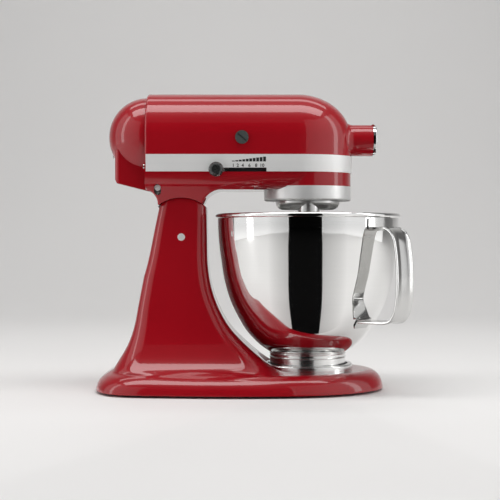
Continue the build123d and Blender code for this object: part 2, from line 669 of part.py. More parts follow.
# Planetary carrier with the beater shaft's boss
ORBIT = RING_MODULE * (RING_TEETH - PLANET_TEETH) / 2
BEATER_BUSH_R = 9.0
carrier_hub_r = CENTRE_SHAFT_R + CARRIER_HUB
carrier_pin_z = CARRIER_LOW + CARRIER_PIN_RISE
with BuildPart() as planetary_carrier:
    with Locations((BOWL_X, 0, CARRIER_LOW)):
        bar(CARRIER_R, CARRIER_TOP - CARRIER_LOW)
    fillet(planetary_carrier.edges().group_by(Axis.Z)[0], CARRIER_ROUND)
    with Locations((BOWL_X, 0, CARRIER_LOW + CARRIER_FLOOR)):
        bar(CARRIER_R - CARRIER_WALL, DEEP, mode=Mode.SUBTRACT)
    with Locations((BOWL_X, 0, CARRIER_LOW + CARRIER_FLOOR / 2)):
        bar(CENTRE_SHAFT_R + CARRIER_HUB, CARRIER_TOP - CARRIER_LOW - CARRIER_FLOOR / 2)
    with Locations((BOWL_X, -ORBIT, BEATER_BOSS_LOW)):
        bar(BEATER_BOSS_R, CARRIER_TOP - BEATER_BOSS_LOW)
    with Locations((BOWL_X, 0, CARRIER_LOW + SHAFT_SEAT)):
        bar(CENTRE_SHAFT_R, DEEP, mode=Mode.SUBTRACT)
    with Locations((BOWL_X, -ORBIT, BEATER_BOSS_LOW - 1)):
        bar(BEATER_BUSH_R, DEEP, mode=Mode.SUBTRACT)
    with Locations(along_x(BOWL_X - carrier_hub_r - 1, 0, carrier_pin_z)):
        bar(CARRIER_PIN_R, 2 * carrier_hub_r + 2, mode=Mode.SUBTRACT)
save(planetary_carrier.part, "planetary_carrier")

with BuildPart() as carrier_pin:
    with Locations(along_x(BOWL_X - carrier_hub_r, 0, carrier_pin_z)):
        bar(CARRIER_PIN_R, 2 * carrier_hub_r)
save(carrier_pin.part, "carrier_pin")

with BuildPart() as beater_bush:
    with Locations((BOWL_X, -ORBIT, BEATER_BOSS_LOW + 1)):
        bar(BEATER_BUSH_R, CARRIER_TOP - BEATER_BOSS_LOW - 1)
        bar(BEATER_SHAFT_R + RUN, DEEP, mode=Mode.SUBTRACT)
save(beater_bush.part, "beater_bush")

with BuildPart() as centre_shaft:
    with Locations((BOWL_X, 0, CARRIER_LOW + SHAFT_SEAT)):
        bar(CENTRE_SHAFT_R, SHAFT_TOP - CARRIER_LOW - SHAFT_SEAT)
    with Locations(along_x(BOWL_X - carrier_hub_r, 0, carrier_pin_z)):
        bar(CARRIER_PIN_R, 2 * carrier_hub_r, mode=Mode.SUBTRACT)
save(centre_shaft.part, "centre_shaft")

with BuildPart() as centre_bush:
    with Locations((BOWL_X, 0, FLOOR_LOW)):
        bar(CENTRE_BUSH_R, FLOOR_HIGH - FLOOR_LOW + 0.5)
        bar(CENTRE_SHAFT_R + RUN, DEEP, mode=Mode.SUBTRACT)
save(centre_bush.part, "centre_bush")

# Spur pair between the worm wheel shaft and the centre shaft
SPUR_LOW = 262.5
SPUR_T = 7.5
mesh_turn = atan2(WHEEL_Y, wheel_x - BOWL_X)
with BuildPart() as centre_gear:
    with BuildSketch(Plane.XY.offset(SPUR_LOW)):
        with Locations((BOWL_X, 0)):
            Polygon(*spur_points(CENTRE_TEETH, SPUR_MODULE, mesh_turn), align=None)
            Circle(CENTRE_SHAFT_R, mode=Mode.SUBTRACT)
    extrude(amount=SPUR_T)
save(centre_gear.part, "centre_gear")

WHEEL_HALF_T = 4.0
PLATE_LOW = 307.0
PLATE_T = 4.0
PLATE_W = 20.0
WORM_SLIM = 0.55
with BuildPart() as wheel_shaft:
    with Locations((wheel_x, WHEEL_Y, FLOOR_LOW + 1 + GAP)):
        bar(WHEEL_SHAFT_R, PLATE_LOW + PLATE_T - 1 - FLOOR_LOW - 1 - GAP)
    with BuildSketch(Plane.XY.offset(SPUR_LOW)):
        with Locations((wheel_x, WHEEL_Y)):
            Polygon(*spur_points(PINION_TEETH, SPUR_MODULE, mesh_turn + pi + pi / PINION_TEETH), align=None)
    extrude(amount=SPUR_T)
save(wheel_shaft.part, "wheel_shaft_with_pinion")

wheel_r = WHEEL_MODULE * WHEEL_TEETH / 2
with BuildPart() as worm_wheel:
    with BuildSketch(Plane.XY.offset(HEAD_Z - WHEEL_HALF_T)):
        with Locations((wheel_x, WHEEL_Y)):
            Polygon(
                *gear_points(
                    WHEEL_TEETH,
                    WHEEL_MODULE,
                    wheel_r - DEDENDUM * WHEEL_MODULE,
                    wheel_r + ADDENDUM * WHEEL_MODULE,
                    WORM_SLIM,
                    -pi / 2 + pi / WHEEL_TEETH,
                ),
                align=None,
            )
            Circle(WHEEL_SHAFT_R, mode=Mode.SUBTRACT)
    extrude(amount=2 * WHEEL_HALF_T)
save(worm_wheel.part, "worm_wheel")

with BuildPart() as wheel_bush:
    with Locations((wheel_x, WHEEL_Y, FLOOR_LOW + 1)):
        bar(WHEEL_BUSH_R, FLOOR_HIGH - FLOOR_LOW)
        bar(WHEEL_SHAFT_R + RUN, DEEP, mode=Mode.SUBTRACT)
save(wheel_bush.part, "wheel_bush")

with BuildPart() as gear_plate:
    with Locations((wheel_x, 0, PLATE_LOW)):
        Box(PLATE_W, 2 * sqrt(inner_half**2 - (PLATE_LOW + PLATE_T - ARCH_Z) ** 2) - 2 * SEAT, PLATE_T, align=FLAT)
    with Locations((wheel_x, WHEEL_Y, PLATE_LOW - 1)):
        bar(WHEEL_SHAFT_R + RUN, DEEP, mode=Mode.SUBTRACT)
save(gear_plate.part, "gear_bearing_plate")

# Bevel pair that turns the attachment hub
bevel_module = 2 * BEVEL_R / BEVEL_TEETH


def bevel_points(phase, shrink):
    """Outline of one end of a bevel gear."""
    return gear_points(
        BEVEL_TEETH, bevel_module, BEVEL_R - 0.9 * bevel_module, BEVEL_R + 0.45 * bevel_module, 0.7, phase, shrink
    )


with BuildPart() as centre_bevel:
    bevel_low = HEAD_Z - BEVEL_R
    with BuildSketch(Plane.XY.offset(bevel_low)):
        with Locations((BOWL_X, 0)):
            Polygon(*bevel_points(0, 1), align=None)
    with BuildSketch(Plane.XY.offset(HEAD_Z - BEVEL_INNER * BEVEL_R)):
        with Locations((BOWL_X, 0)):
            Polygon(*bevel_points(0, BEVEL_INNER), align=None)
    loft(ruled=True)
    with Locations((BOWL_X, 0, SPUR_LOW + SPUR_T)):
        bar(CENTRE_SHAFT_R + 6, bevel_low - SPUR_LOW - SPUR_T)
        bar(CENTRE_SHAFT_R, 60, mode=Mode.SUBTRACT)
save(centre_bevel.part, "centre_bevel_gear")

hub_plane = Plane(origin=(BOWL_X, 0, HEAD_Z), x_dir=(0, 0, -1), z_dir=(1, 0, 0))
DRIVE_R = 9.0
DRIVE_STEM_R = 6.0
DRIVE_SOCKET = 8.2
DRIVE_SOCKET_DEEP = 13.0
with BuildPart() as hub_bevel:
    with BuildSketch(hub_plane.offset(BEVEL_R)):
        Polygon(*bevel_points(pi / BEVEL_TEETH, 1), align=None)
    with BuildSketch(hub_plane.offset(BEVEL_INNER * BEVEL_R)):
        Polygon(*bevel_points(pi / BEVEL_TEETH, BEVEL_INNER), align=None)
    loft(ruled=True)
    with Locations(along_x(BOWL_X, 0, HEAD_Z)):
        bar(DRIVE_STEM_R, DEEP, mode=Mode.SUBTRACT)
save(hub_bevel.part, "hub_bevel_gear")

with BuildPart() as hub_drive:
    with Locations(along_x(BOWL_X + BEVEL_INNER * BEVEL_R, 0, HEAD_Z)):
        bar(DRIVE_STEM_R, BEVEL_R)
    with Locations(along_x(BOWL_X + BEVEL_R, 0, HEAD_Z)):
        bar(DRIVE_R, HUB_BORE_END - BOWL_X - BEVEL_R - 1)
    with BuildSketch(Plane.YZ.offset(HUB_BORE_END - DRIVE_SOCKET_DEEP)):
        with Locations((0, HEAD_Z)):
            Rectangle(DRIVE_SOCKET, DRIVE_SOCKET)
    extrude(amount=DRIVE_SOCKET_DEEP, mode=Mode.SUBTRACT)
save(hub_drive.part, "hub_drive_shaft")

with BuildPart() as hub_bush:
    with Locations(along_x(HUB_BOSS_BACK, 0, HEAD_Z)):
        bar(bush_r, HUB_BORE_END - HUB_BOSS_BACK - 2)
        bar(DRIVE_R + RUN, DEEP, mode=Mode.SUBTRACT)
save(hub_bush.part, "hub_bush")

# Fixed ring gear and the beater shaft's pinion inside it
RING_GEAR_LOW = 244.5
RING_GEAR_T = 9.5
ring_pitch = RING_MODULE * RING_TEETH / 2
with BuildPart() as ring_gear:
    with BuildSketch(Plane.XY.offset(RING_GEAR_LOW)):
        with Locations((BOWL_X, 0)):
            Circle(ring_out_r)
            Polygon(
                *gear_points(
                    RING_TEETH,
                    RING_MODULE,
                    ring_pitch - ADDENDUM * RING_MODULE,
                    ring_pitch + DEDENDUM * RING_MODULE,
                    2 - SLIM,
                    -pi / 2,
                ),
                align=None,
                mode=Mode.SUBTRACT,
            )
    extrude(amount=RING_GEAR_T)
save(ring_gear.part, "ring_gear")

with BuildPart() as beater_pinion:
    with BuildSketch(Plane.XY.offset(RING_GEAR_LOW + 0.5)):
        with Locations((BOWL_X, -ORBIT)):
            Polygon(*spur_points(PLANET_TEETH, RING_MODULE, -pi / 2), align=None)
            Circle(BEATER_SHAFT_R, mode=Mode.SUBTRACT)
    extrude(amount=RING_GEAR_T - 1)
save(beater_pinion.part, "beater_pinion")

with BuildPart() as beater_shaft:
    with Locations((BOWL_X, -ORBIT, BEATER_SHAFT_LOW)):
        bar(BEATER_SHAFT_R, FLOOR_LOW - 0.6 - BEATER_SHAFT_LOW)
    with Locations(along_x(BOWL_X - CROSS_PIN_LEN / 2, -ORBIT, CROSS_PIN_Z)):
        bar(CROSS_PIN_R, CROSS_PIN_LEN, mode=Mode.SUBTRACT)
save(beater_shaft.part, "beater_shaft")

with BuildPart() as beater_pin:
    with Locations(along_x(BOWL_X - CROSS_PIN_LEN / 2, -ORBIT, CROSS_PIN_Z)):
        bar(CROSS_PIN_R, CROSS_PIN_LEN)
save(beater_pin.part, "beater_cross_pin")

# Flat beater
BEATER_T = 7.0
BEATER_BAR = 7.0
BEATER_ARM_Z = 112.0
BEATER_ARM_TURN = 32.0
BEATER_NECK_R = 10.5
BEATER_NECK_LOW = 166.0
BEATER_NECK_TOP = 204.5
WINDOW = [(9, 66), (24, 70), (34, 79), (41, 91), (46.5, 106), (49, 122), (45.5, 138), (32, 154), (11, 168)]
PADDLE = [(10, 57), (28, 62), (40, 72), (48.5, 86), (55, 104), (58, 122), (54, 142), (38, 162), (13, 178)]
with BuildPart() as paddle:
    with BuildSketch(Plane.XZ.offset(-BEATER_T / 2)):
        with BuildLine():
            Spline(*PADDLE)
            Line(PADDLE[-1], (-PADDLE[-1][0], PADDLE[-1][1]))
            Spline(*[(-u, v) for u, v in reversed(PADDLE)])
            Line((-PADDLE[0][0], PADDLE[0][1]), PADDLE[0])
        make_face()
    extrude(amount=BEATER_T)
    with BuildSketch(Plane.XZ.offset(-BEATER_T)):
        with BuildLine():
            Spline(*WINDOW)
            Line(WINDOW[-1], (-WINDOW[-1][0], WINDOW[-1][1]))
            Spline(*[(-u, v) for u, v in reversed(WINDOW)])
            Line((-WINDOW[0][0], WINDOW[0][1]), WINDOW[0])
        make_face()
        with Locations((0, 115)):
            Rectangle(BEATER_BAR, 140, mode=Mode.SUBTRACT)
        for side in (-1, 1):
            with Locations((side * 30, BEATER_ARM_Z)):
                Rectangle(90, BEATER_BAR, rotation=side * BEATER_ARM_TURN, mode=Mode.SUBTRACT)
    extrude(amount=2 * BEATER_T, mode=Mode.SUBTRACT)
with BuildPart() as flat_beater:
    add(Pos(BOWL_X, -ORBIT, 0) * paddle.part)
    with Locations((BOWL_X, -ORBIT, BEATER_NECK_LOW)):
        bar(BEATER_NECK_R, BEATER_NECK_TOP - BEATER_NECK_LOW)
    with Locations((BOWL_X, -ORBIT, BEATER_SHAFT_LOW)):
        bar(BEATER_SHAFT_R + RUN, DEEP, mode=Mode.SUBTRACT)
    with Locations(along_x(BOWL_X - CROSS_PIN_LEN / 2, -ORBIT, CROSS_PIN_Z)):
        bar(CROSS_PIN_R, CROSS_PIN_LEN, mode=Mode.SUBTRACT)
save(flat_beater.part, "flat_beater")

# Armature: shaft with the worm, core, commutator and fan
worm_pitch = pi * WHEEL_MODULE
WORM_TURNS = 5
SHAFT_BACK = -111.0
worm_start = wheel_x - worm_pitch * (WORM_TURNS / 2 - 0.25)
worm_tip = WORM_R + ADDENDUM * WHEEL_MODULE
worm_root = WORM_R - DEDENDUM * WHEEL_MODULE
with BuildPart() as thread:
    with BuildLine() as path:
        Helix(worm_pitch, worm_pitch * WORM_TURNS, worm_root - 0.4)
    with BuildSketch(Plane(origin=path.line @ 0, x_dir=(1, 0, 0), z_dir=path.line % 0)):
        Polygon((0, -1.25), (worm_tip - worm_root + 0.4, -0.45), (worm_tip - worm_root + 0.4, 0.45), (0, 1.25), align=None)
    sweep(is_frenet=True)
with BuildPart() as armature_shaft:
    add(along_x(worm_start, 0, HEAD_Z) * thread.part)
    with Locations(along_x(worm_start - 3, 0, HEAD_Z)):
        bar(worm_root, worm_pitch * WORM_TURNS + 6)
    with Locations(along_x(SHAFT_BACK, 0, HEAD_Z)):
        bar(MOTOR_SHAFT_R, worm_start - SHAFT_BACK)
save(armature_shaft.part, "armature_shaft_with_worm")

with BuildPart() as armature_core:
    with BuildSketch(Plane.YZ.offset(CORE_BACK)):
        with Locations((0, HEAD_Z)):
            Circle(CORE_R)
            with PolarLocations(CORE_R, CORE_SLOTS):
                Rectangle(5, 1.6, mode=Mode.SUBTRACT)
    extrude(amount=CORE_FRONT - CORE_BACK)
    with Locations(along_x(CORE_BACK - WINDING_OUT, 0, HEAD_Z)):
        bar(CORE_R - WINDING_IN, CORE_FRONT - CORE_BACK + 2 * WINDING_OUT)
    fillet(armature_core.edges().group_by(Axis.X)[0], WINDING_ROUND)
    fillet(armature_core.edges().group_by(Axis.X)[-1], WINDING_ROUND)
    with Locations(along_x(CORE_BACK - 20, 0, HEAD_Z)):
        bar(MOTOR_SHAFT_R, 200, mode=Mode.SUBTRACT)
save(armature_core.part, "armature_core")

with BuildPart() as commutator:
    with BuildSketch(Plane.YZ.offset(BRUSH_X - 9)):
        with Locations((0, HEAD_Z)):
            Circle(COMMUTATOR_R)
            Circle(MOTOR_SHAFT_R, mode=Mode.SUBTRACT)
            with PolarLocations(COMMUTATOR_R, COMMUTATOR_BARS):
                Rectangle(3, 0.7, mode=Mode.SUBTRACT)
    extrude(amount=COMMUTATOR_LEN)
save(commutator.part, "commutator")

with BuildPart() as cooling_fan:
    with Locations(along_x(FAN_X, 0, HEAD_Z)):
        bar(FAN_R, FAN_T)
        bar(FAN_HUB_R, FAN_DEEP)
    with BuildSketch(Plane.YZ.offset(FAN_X)):
        with Locations((0, HEAD_Z)):
            with PolarLocations(FAN_R - 11, FAN_BLADES):
                Rectangle(20, 1.4, rotation=25)
    extrude(amount=FAN_DEEP)
    with Locations(along_x(FAN_X - 19, 0, HEAD_Z)):
        bar(MOTOR_SHAFT_R, 200, mode=Mode.SUBTRACT)
save(cooling_fan.part, "cooling_fan")

# Stator core with its poles, and the field coils around them
pole_r = CORE_R + AIR_GAP
with BuildPart() as stator_core:
    with BuildSketch(Plane.YZ.offset(CORE_BACK)):
        with Locations((0, HEAD_Z)):
            Circle(STATOR_R)
            Circle(STATOR_R - STATOR_WALL, mode=Mode.SUBTRACT)
            for side in (-1, 1):
                with Locations((0, side * (STATOR_R - 2 * STATOR_WALL))):
                    Rectangle(POLE_W, 16)
                with Locations((0, side * 20)):
                    Rectangle(34, 9)
            Circle(pole_r, mode=Mode.SUBTRACT)
    extrude(amount=CORE_FRONT - CORE_BACK)
save(stator_core.part, "stator_core")

with BuildPart() as field_coils:
    for side in (-1, 1):
        with BuildSketch(Plane.XY.offset(HEAD_Z + side * COIL_LIFT)):
            with Locations(((CORE_BACK + CORE_FRONT) / 2, 0)):
                RectangleRounded(CORE_FRONT - CORE_BACK + 16, POLE_W + 9, 4)
                Rectangle(CORE_FRONT - CORE_BACK + 3 * SEAT, POLE_W + 3 * SEAT, mode=Mode.SUBTRACT)
        extrude(amount=side * COIL_T)
save(field_coils.part, "field_coils")

# Bearing brackets across the head
BRACKET_FRONT = 4.0
BRACKET_T = 6.0
BRACKET_BACK = -112.5
bracket_width = 2 * sqrt(inner_half**2 - (HEAD_Z + BRACKET_W / 2 - ARCH_Z) ** 2) - 2 * SEAT
for bracket_x, label in ((BRACKET_FRONT, "front_bearing_bracket"), (BRACKET_BACK, "rear_bearing_bracket")):
    with BuildPart() as bracket:
        with BuildSketch(Plane.YZ.offset(bracket_x)):
            with Locations((0, HEAD_Z)):
                Rectangle(bracket_width, BRACKET_W)
                Circle(EYE_R)
                Circle(BUSH_R, mode=Mode.SUBTRACT)
        extrude(amount=BRACKET_T)
    save(bracket.part, label)

with BuildPart() as motor_bushes:
    for bracket_x in (BRACKET_FRONT, BRACKET_BACK):
        with Locations(along_x(bracket_x - 1, 0, HEAD_Z)):
            bar(BUSH_R, BRACKET_T + 2)
            bar(MOTOR_SHAFT_R + RUN, DEEP, mode=Mode.SUBTRACT)
save(motor_bushes.part, "motor_bushes")

with BuildPart() as speed_control:
    with BuildSketch(Plane.YZ.offset(BRACKET_BACK - 3.5)):
        with Locations((0, HEAD_Z)):
            RectangleRounded(70, 56, 8)
            Circle(BUSH_R + 1.5, mode=Mode.SUBTRACT)
    extrude(amount=3)
    for side in (-1, 1):
        with Locations(along_x(BRACKET_BACK - 10, side * 22, HEAD_Z + 16)):
            bar(5, 7)
save(speed_control.part, "speed_control_plate")

# Brush gear on both sides
TUBE_START = COMMUTATOR_R + 4.0
with BuildPart() as brush_holders:
    for side in (-1, 1):
        low = TUBE_START if side > 0 else -HEAD_HALF
        with Locations(along_y(BRUSH_X, low, HEAD_Z)):
            bar(BRUSH_TUBE_R, HEAD_HALF - TUBE_START)
            bar(BRUSH_TUBE_R - TUBE_WALL, HEAD_HALF - TUBE_START, mode=Mode.SUBTRACT)
save(brush_holders.part, "brush_holders")

with BuildPart() as carbon_brushes:
    for side in (-1, 1):
        with Locations((BRUSH_X, side * (COMMUTATOR_R + 0.3), HEAD_Z)):
            Box(*BRUSH_SIZE, align=(Align.CENTER, Align.MIN if side > 0 else Align.MAX, Align.CENTER))
save(carbon_brushes.part, "carbon_brushes")

CAP_T = 2.2
PLUG_LEN = 8.0
with BuildPart() as brush_caps:
    for side in (-1, 1):
        low = HEAD_HALF if side > 0 else -HEAD_HALF - CAP_T
        plug = HEAD_HALF - PLUG_LEN if side > 0 else -HEAD_HALF
        with Locations(along_y(BRUSH_X, low, HEAD_Z)):
            bar(BRUSH_CAP_R, CAP_T)
        with Locations(along_y(BRUSH_X, plug, HEAD_Z)):
            bar(BRUSH_TUBE_R - TUBE_WALL - RUN, PLUG_LEN)
        with Locations(Location((BRUSH_X, side * (HEAD_HALF + CAP_T), HEAD_Z), (0, 40, 0))):
            Box(2 * BRUSH_CAP_R - 3, 2.4, 1.8, mode=Mode.SUBTRACT)
save(brush_caps.part, "brush_caps")

# Head lock: rod through the neck with a knob on the far side
LOCK_START = -41.5
LOCK_KNOB_R = 8.5
LOCK_KNOB_LEN = 11.0
LOCK_COLLAR_R = 6.0
LOCK_COLLAR = 4.0
lock_end = HEAD_HALF - 3.0
with BuildPart() as lock_rod:
    with Locations(along_y(LOCK_X, LOCK_START, LOCK_Z)):
        bar(LOCK_R, lock_end + 8.5 - LOCK_START)
save(lock_rod.part, "lock_rod")

with BuildPart() as lock_knob:
    with Locations(along_y(LOCK_X, lock_end, LOCK_Z)):
        bar(LOCK_COLLAR_R, LOCK_COLLAR)
    with Locations(along_y(LOCK_X, lock_end + LOCK_COLLAR, LOCK_Z)):
        bar(LOCK_KNOB_R, LOCK_KNOB_LEN)
    fillet(lock_knob.edges().group_by(Axis.Y)[-1], 3)
    with Locations(along_y(LOCK_X, lock_end - 1, LOCK_Z)):
        bar(LOCK_R, 9.5, mode=Mode.SUBTRACT)
save(lock_knob.part, "lock_knob")

with BuildPart() as cord_gland:
    with Locations(along_x(TAIL_BACK - GLAND_FLANGE_T, GLAND_Y, GLAND_Z)):
        bar(GLAND_FLANGE_R, GLAND_FLANGE_T)
    with Locations(along_x(TAIL_BACK, GLAND_Y, GLAND_Z)):
        bar(GLAND_R, GLAND_LEN)
    with Locations(along_x(TAIL_BACK - 3, GLAND_Y, GLAND_Z)):
        bar(GLAND_BORE_R, GLAND_LEN + 8, mode=Mode.SUBTRACT)
save(cord_gland.part, "cord_gland")

# Base casting: broad foot with a hollow underside
BASE_EDGE = [
    (-181, 0), (-178.5, 45), (-160, 78), (-110, 92), (-40, 98), (30, 97), (90, 86), (131, 62), (152, 34), (159, 0)
]
FEET = [(-142, 58), (-142, -58), (100, 50), (100, -50), (0, 0)]
PEDESTAL_SCREWS = [(-130, 28), (-130, -28), (-60, 34), (-60, -34)]
CLAMP_SCREW_R = 32.0
PEDESTAL_SCREW_R = 3.0
PEDESTAL_HEAD_R = 5.5
FOOT_DEEP = 6.0
def base_plan(draw_in, level):
    """Plan outline of the base at a level, drawn in all round."""
    with BuildSketch(Plane.XY.offset(level)) as plan:
        with BuildLine():
            shrink_x = 1 - draw_in / BASE_EDGE[-1][0]
            shrink_y = 1 - draw_in / BASE_HALF
            near = [(BASE_MID + (x - BASE_MID) * shrink_x, y * shrink_y) for x, y in BASE_EDGE]
            far = [(x, -y) for x, y in reversed(near[1:-1])]
            Spline(*near, *far, periodic=True)
        make_face()
    return plan.sketch


BASE_HALF = 98.0
BASE_MID = (BASE_EDGE[0][0] + BASE_EDGE[-1][0]) / 2
BASE_STEPS = [(0, 0.0), (0.3, 0.03), (0.6, 0.17), (0.8, 0.38), (0.93, 0.66), (1.0, 1.05)]
with BuildPart() as base_casting:
    base_rise = BASE_TOP - BASE_LOW
    loft([base_plan(draw * BASE_ROUND, BASE_LOW + share * base_rise) for share, draw in BASE_STEPS])
    extrude(base_plan(BASE_RIM, BASE_LOW), amount=base_rise - BASE_SKIN, dir=(0, 0, 1), mode=Mode.SUBTRACT)
    with Locations(*[(x, y, BASE_LOW) for x, y in FEET]):
        bar(FOOT_R + 3, BASE_TOP - BASE_LOW - 3)
    with Locations(*[(x, y, 0) for x, y in FEET]):
        bar(FOOT_R, FOOT_DEEP + SEAT, mode=Mode.SUBTRACT)
    with Locations(*[(x, y, 0) for x, y in PEDESTAL_SCREWS]):
        bar(PEDESTAL_SCREW_R, DEEP, mode=Mode.SUBTRACT)
    with Locations((BOWL_X, 0, 0)):
        with PolarLocations(CLAMP_SCREW_R, 3):
            bar(2.0, 60, mode=Mode.SUBTRACT)
save(base_casting.part, "base_casting")

with BuildPart() as rubber_feet:
    with Locations(*[(x, y, 0) for x, y in FEET]):
        bar(FOOT_R - SEAT / 2, FOOT_DEEP)
    fillet(rubber_feet.edges().group_by(Axis.Z)[0], 1.0)
save(rubber_feet.part, "rubber_feet")

# Pedestal: hollow column that flares into the base
COLUMN = [
    (BASE_TOP, -158, 40, 76, 34),
    (BASE_TOP + 6, -153, 27, 66, 30),
    (BASE_TOP + 16, -148.5, 13, 59, 25),
    (BASE_TOP + 31, -142, -5, 52, 21),
    (76, -136, -24.5, 46, 18),
    (98, -132, -37, 42, 16),
    (126.5, -126.8, -46.5, 38, 15),
    (145, -123.2, -49.2, 36.3, 14.4),
    (161.6, -119.9, -50.2, 35, 14),
    (176, -117.2, -50.5, 34, 13.5),
    (191.5, -114.4, -50.7, 33, 13),
    (211, -110.4, -51.0, 32.5, 12.5),
    (230, -106.0, -51.2, 32, 12),
]


def column_solid(inset):
    """Column by its level outlines, drawn in by an inset."""
    with BuildPart() as column:
        for level, back, front, half, corner in COLUMN:
            with BuildSketch(Plane.XY.offset(level)):
                with Locations(((back + front) / 2, 0)):
                    RectangleRounded(front - back - 2 * inset, 2 * (half - inset), corner - inset)
        loft()
    return column.part


with BuildPart() as column_hollow:
    add(column_solid(COLUMN_WALL))
    with Locations((HINGE_X, 0, BASE_TOP + COLUMN_FLOOR)):
        Box(400, 400, 400, align=(Align.CENTER, Align.CENTER, Align.MAX), mode=Mode.SUBTRACT)
with BuildPart() as above_column:
    with Locations((HINGE_X, 0, HINGE_Z)):
        Box(200, 200, 200, align=FLAT)
    with Locations(along_y(HINGE_X, -100, HINGE_Z)):
        bar(COLUMN_TOP_R, 200, mode=Mode.SUBTRACT)
with BuildPart() as pedestal:
    add(column_solid(0))
    add(column_hollow.part, mode=Mode.SUBTRACT)
    with Locations(*[(x, y, BASE_TOP) for x, y in PEDESTAL_SCREWS]):
        bar(SCREW_BOSS_R, SCREW_BOSS_H)
    for side in (-1, 1):
        low = TONGUE_HALF + GAP if side > 0 else -NECK_LOW_HALF
        with Locations(along_y(HINGE_X, low, HINGE_Z)):
            bar(13.0, NECK_LOW_HALF - TONGUE_HALF - GAP)
    add(above_column.part, mode=Mode.SUBTRACT)
    with Locations((BOWL_X, 0, BASE_TOP)):
        bar(CLAMP_R + GAP, 40, mode=Mode.SUBTRACT)
    with Locations(along_y(HINGE_X, -60, HINGE_Z)):
        bar(PIN_R, 120, mode=Mode.SUBTRACT)
    with Locations(*[(x, y, 0) for x, y in PEDESTAL_SCREWS]):
        bar(PEDESTAL_SCREW_R, BASE_TOP + 20, mode=Mode.SUBTRACT)
save(pedestal.part, "pedestal")

with BuildPart() as pedestal_screws:
    with Locations(*[(x, y, BASE_TOP - BASE_SKIN) for x, y in PEDESTAL_SCREWS]):
        bar(PEDESTAL_SCREW_R, 25)
    with Locations(*[(x, y, BASE_TOP - BASE_SKIN - 4) for x, y in PEDESTAL_SCREWS]):
        bar(PEDESTAL_HEAD_R, 4)
save(pedestal_screws.part, "pedestal_screws")

with BuildPart() as hinge_pin:
    with Locations(along_y(HINGE_X, -PIN_HALF, HINGE_Z)):
        bar(PIN_R, 2 * PIN_HALF)
    fillet(hinge_pin.edges(), 0.8)
save(hinge_pin.part, "hinge_pin")

# Clamp plate with bayonet lips
LIP_TURNS = (-90, 30, 150)
with BuildPart() as clamp_plate:
    with Locations((BOWL_X, 0, BASE_TOP)):
        bar(CLAMP_R, CLAMP_TOP - BASE_TOP)
    fillet(clamp_plate.edges().group_by(Axis.Z)[-1], 2.0)
    with Locations((BOWL_X, 0, BOWL_FOOT_LOW - GAP)):
        bar(BOWL_FOOT_R + 3, 20, mode=Mode.SUBTRACT)
    for turn in LIP_TURNS:
        with BuildSketch(Plane.XY.offset(CLAMP_TOP - 1.2)):
            with BuildLine(Location((BOWL_X, 0), (0, 0, turn))):
                low_arc = CenterArc((0, 0), BOWL_FOOT_R + 0.6, -20, 40)
                high_arc = CenterArc((0, 0), BOWL_FOOT_R + 3.5, -20, 40)
                Line(low_arc @ 0, high_arc @ 0)
                Line(low_arc @ 1, high_arc @ 1)
            make_face()
        extrude(amount=1.2)
    with Locations((BOWL_X, 0, 0)):
        with PolarLocations(CLAMP_SCREW_R, 3):
            bar(2.0, 60, mode=Mode.SUBTRACT)
save(clamp_plate.part, "bowl_clamp_plate")

with BuildPart() as clamp_screws:
    with Locations((BOWL_X, 0, BASE_TOP - BASE_SKIN - 1)):
        with PolarLocations(CLAMP_SCREW_R, 3):
            bar(2.0, BOWL_FOOT_LOW - BASE_TOP + BASE_SKIN + 0.6)
    with Locations((BOWL_X, 0, BOWL_FOOT_LOW - GAP)):
        with PolarLocations(CLAMP_SCREW_R, 3):
            bar(4.0, 2.4)
save(clamp_screws.part, "clamp_plate_screws")

# Mixing bowl: spun sheet with a rolled rim
BOWL_WALL = [
    (BOWL_FOOT_R + 0.5, BOWL_FLOOR), (54.6, 50.4), (65.4, 60.0), (73.8, 69.6), (83.0, 84.0), (92.6, 103.0),
    (100.2, 127.0), (105.0, 156.0), (107.6, 180.0), (108.6, RIM_Z),
]
with BuildPart() as mixing_bowl:
    with BuildSketch(Plane.XZ) as bowl_section:
        with BuildLine():
            Line((0, BOWL_FLOOR), BOWL_WALL[0])
            outer_line = Spline(*BOWL_WALL)
            inner_line = Spline(*[(r - BOWL_T * (0.75 if r < 90 else 1), z + BOWL_T * (0.75 if r < 90 else 0))
                                  for r, z in BOWL_WALL[1:]])
            Line(outer_line @ 1, inner_line @ 1)
            Line(inner_line @ 0, (BOWL_FOOT_R - 2, BOWL_FLOOR + BOWL_T))
            Line((BOWL_FOOT_R - 2, BOWL_FLOOR + BOWL_T), (0, BOWL_FLOOR + BOWL_T))
            Line((0, BOWL_FLOOR + BOWL_T), (0, BOWL_FLOOR))
        make_face()
        with Locations((RIM_R, RIM_Z)):
            Circle(RIM_ROLL)
    revolve(axis=Axis.Z)
with BuildPart() as mixing_bowl_placed:
    add(Pos(BOWL_X, 0, 0) * mixing_bowl.part)
save(mixing_bowl_placed.part, "mixing_bowl")

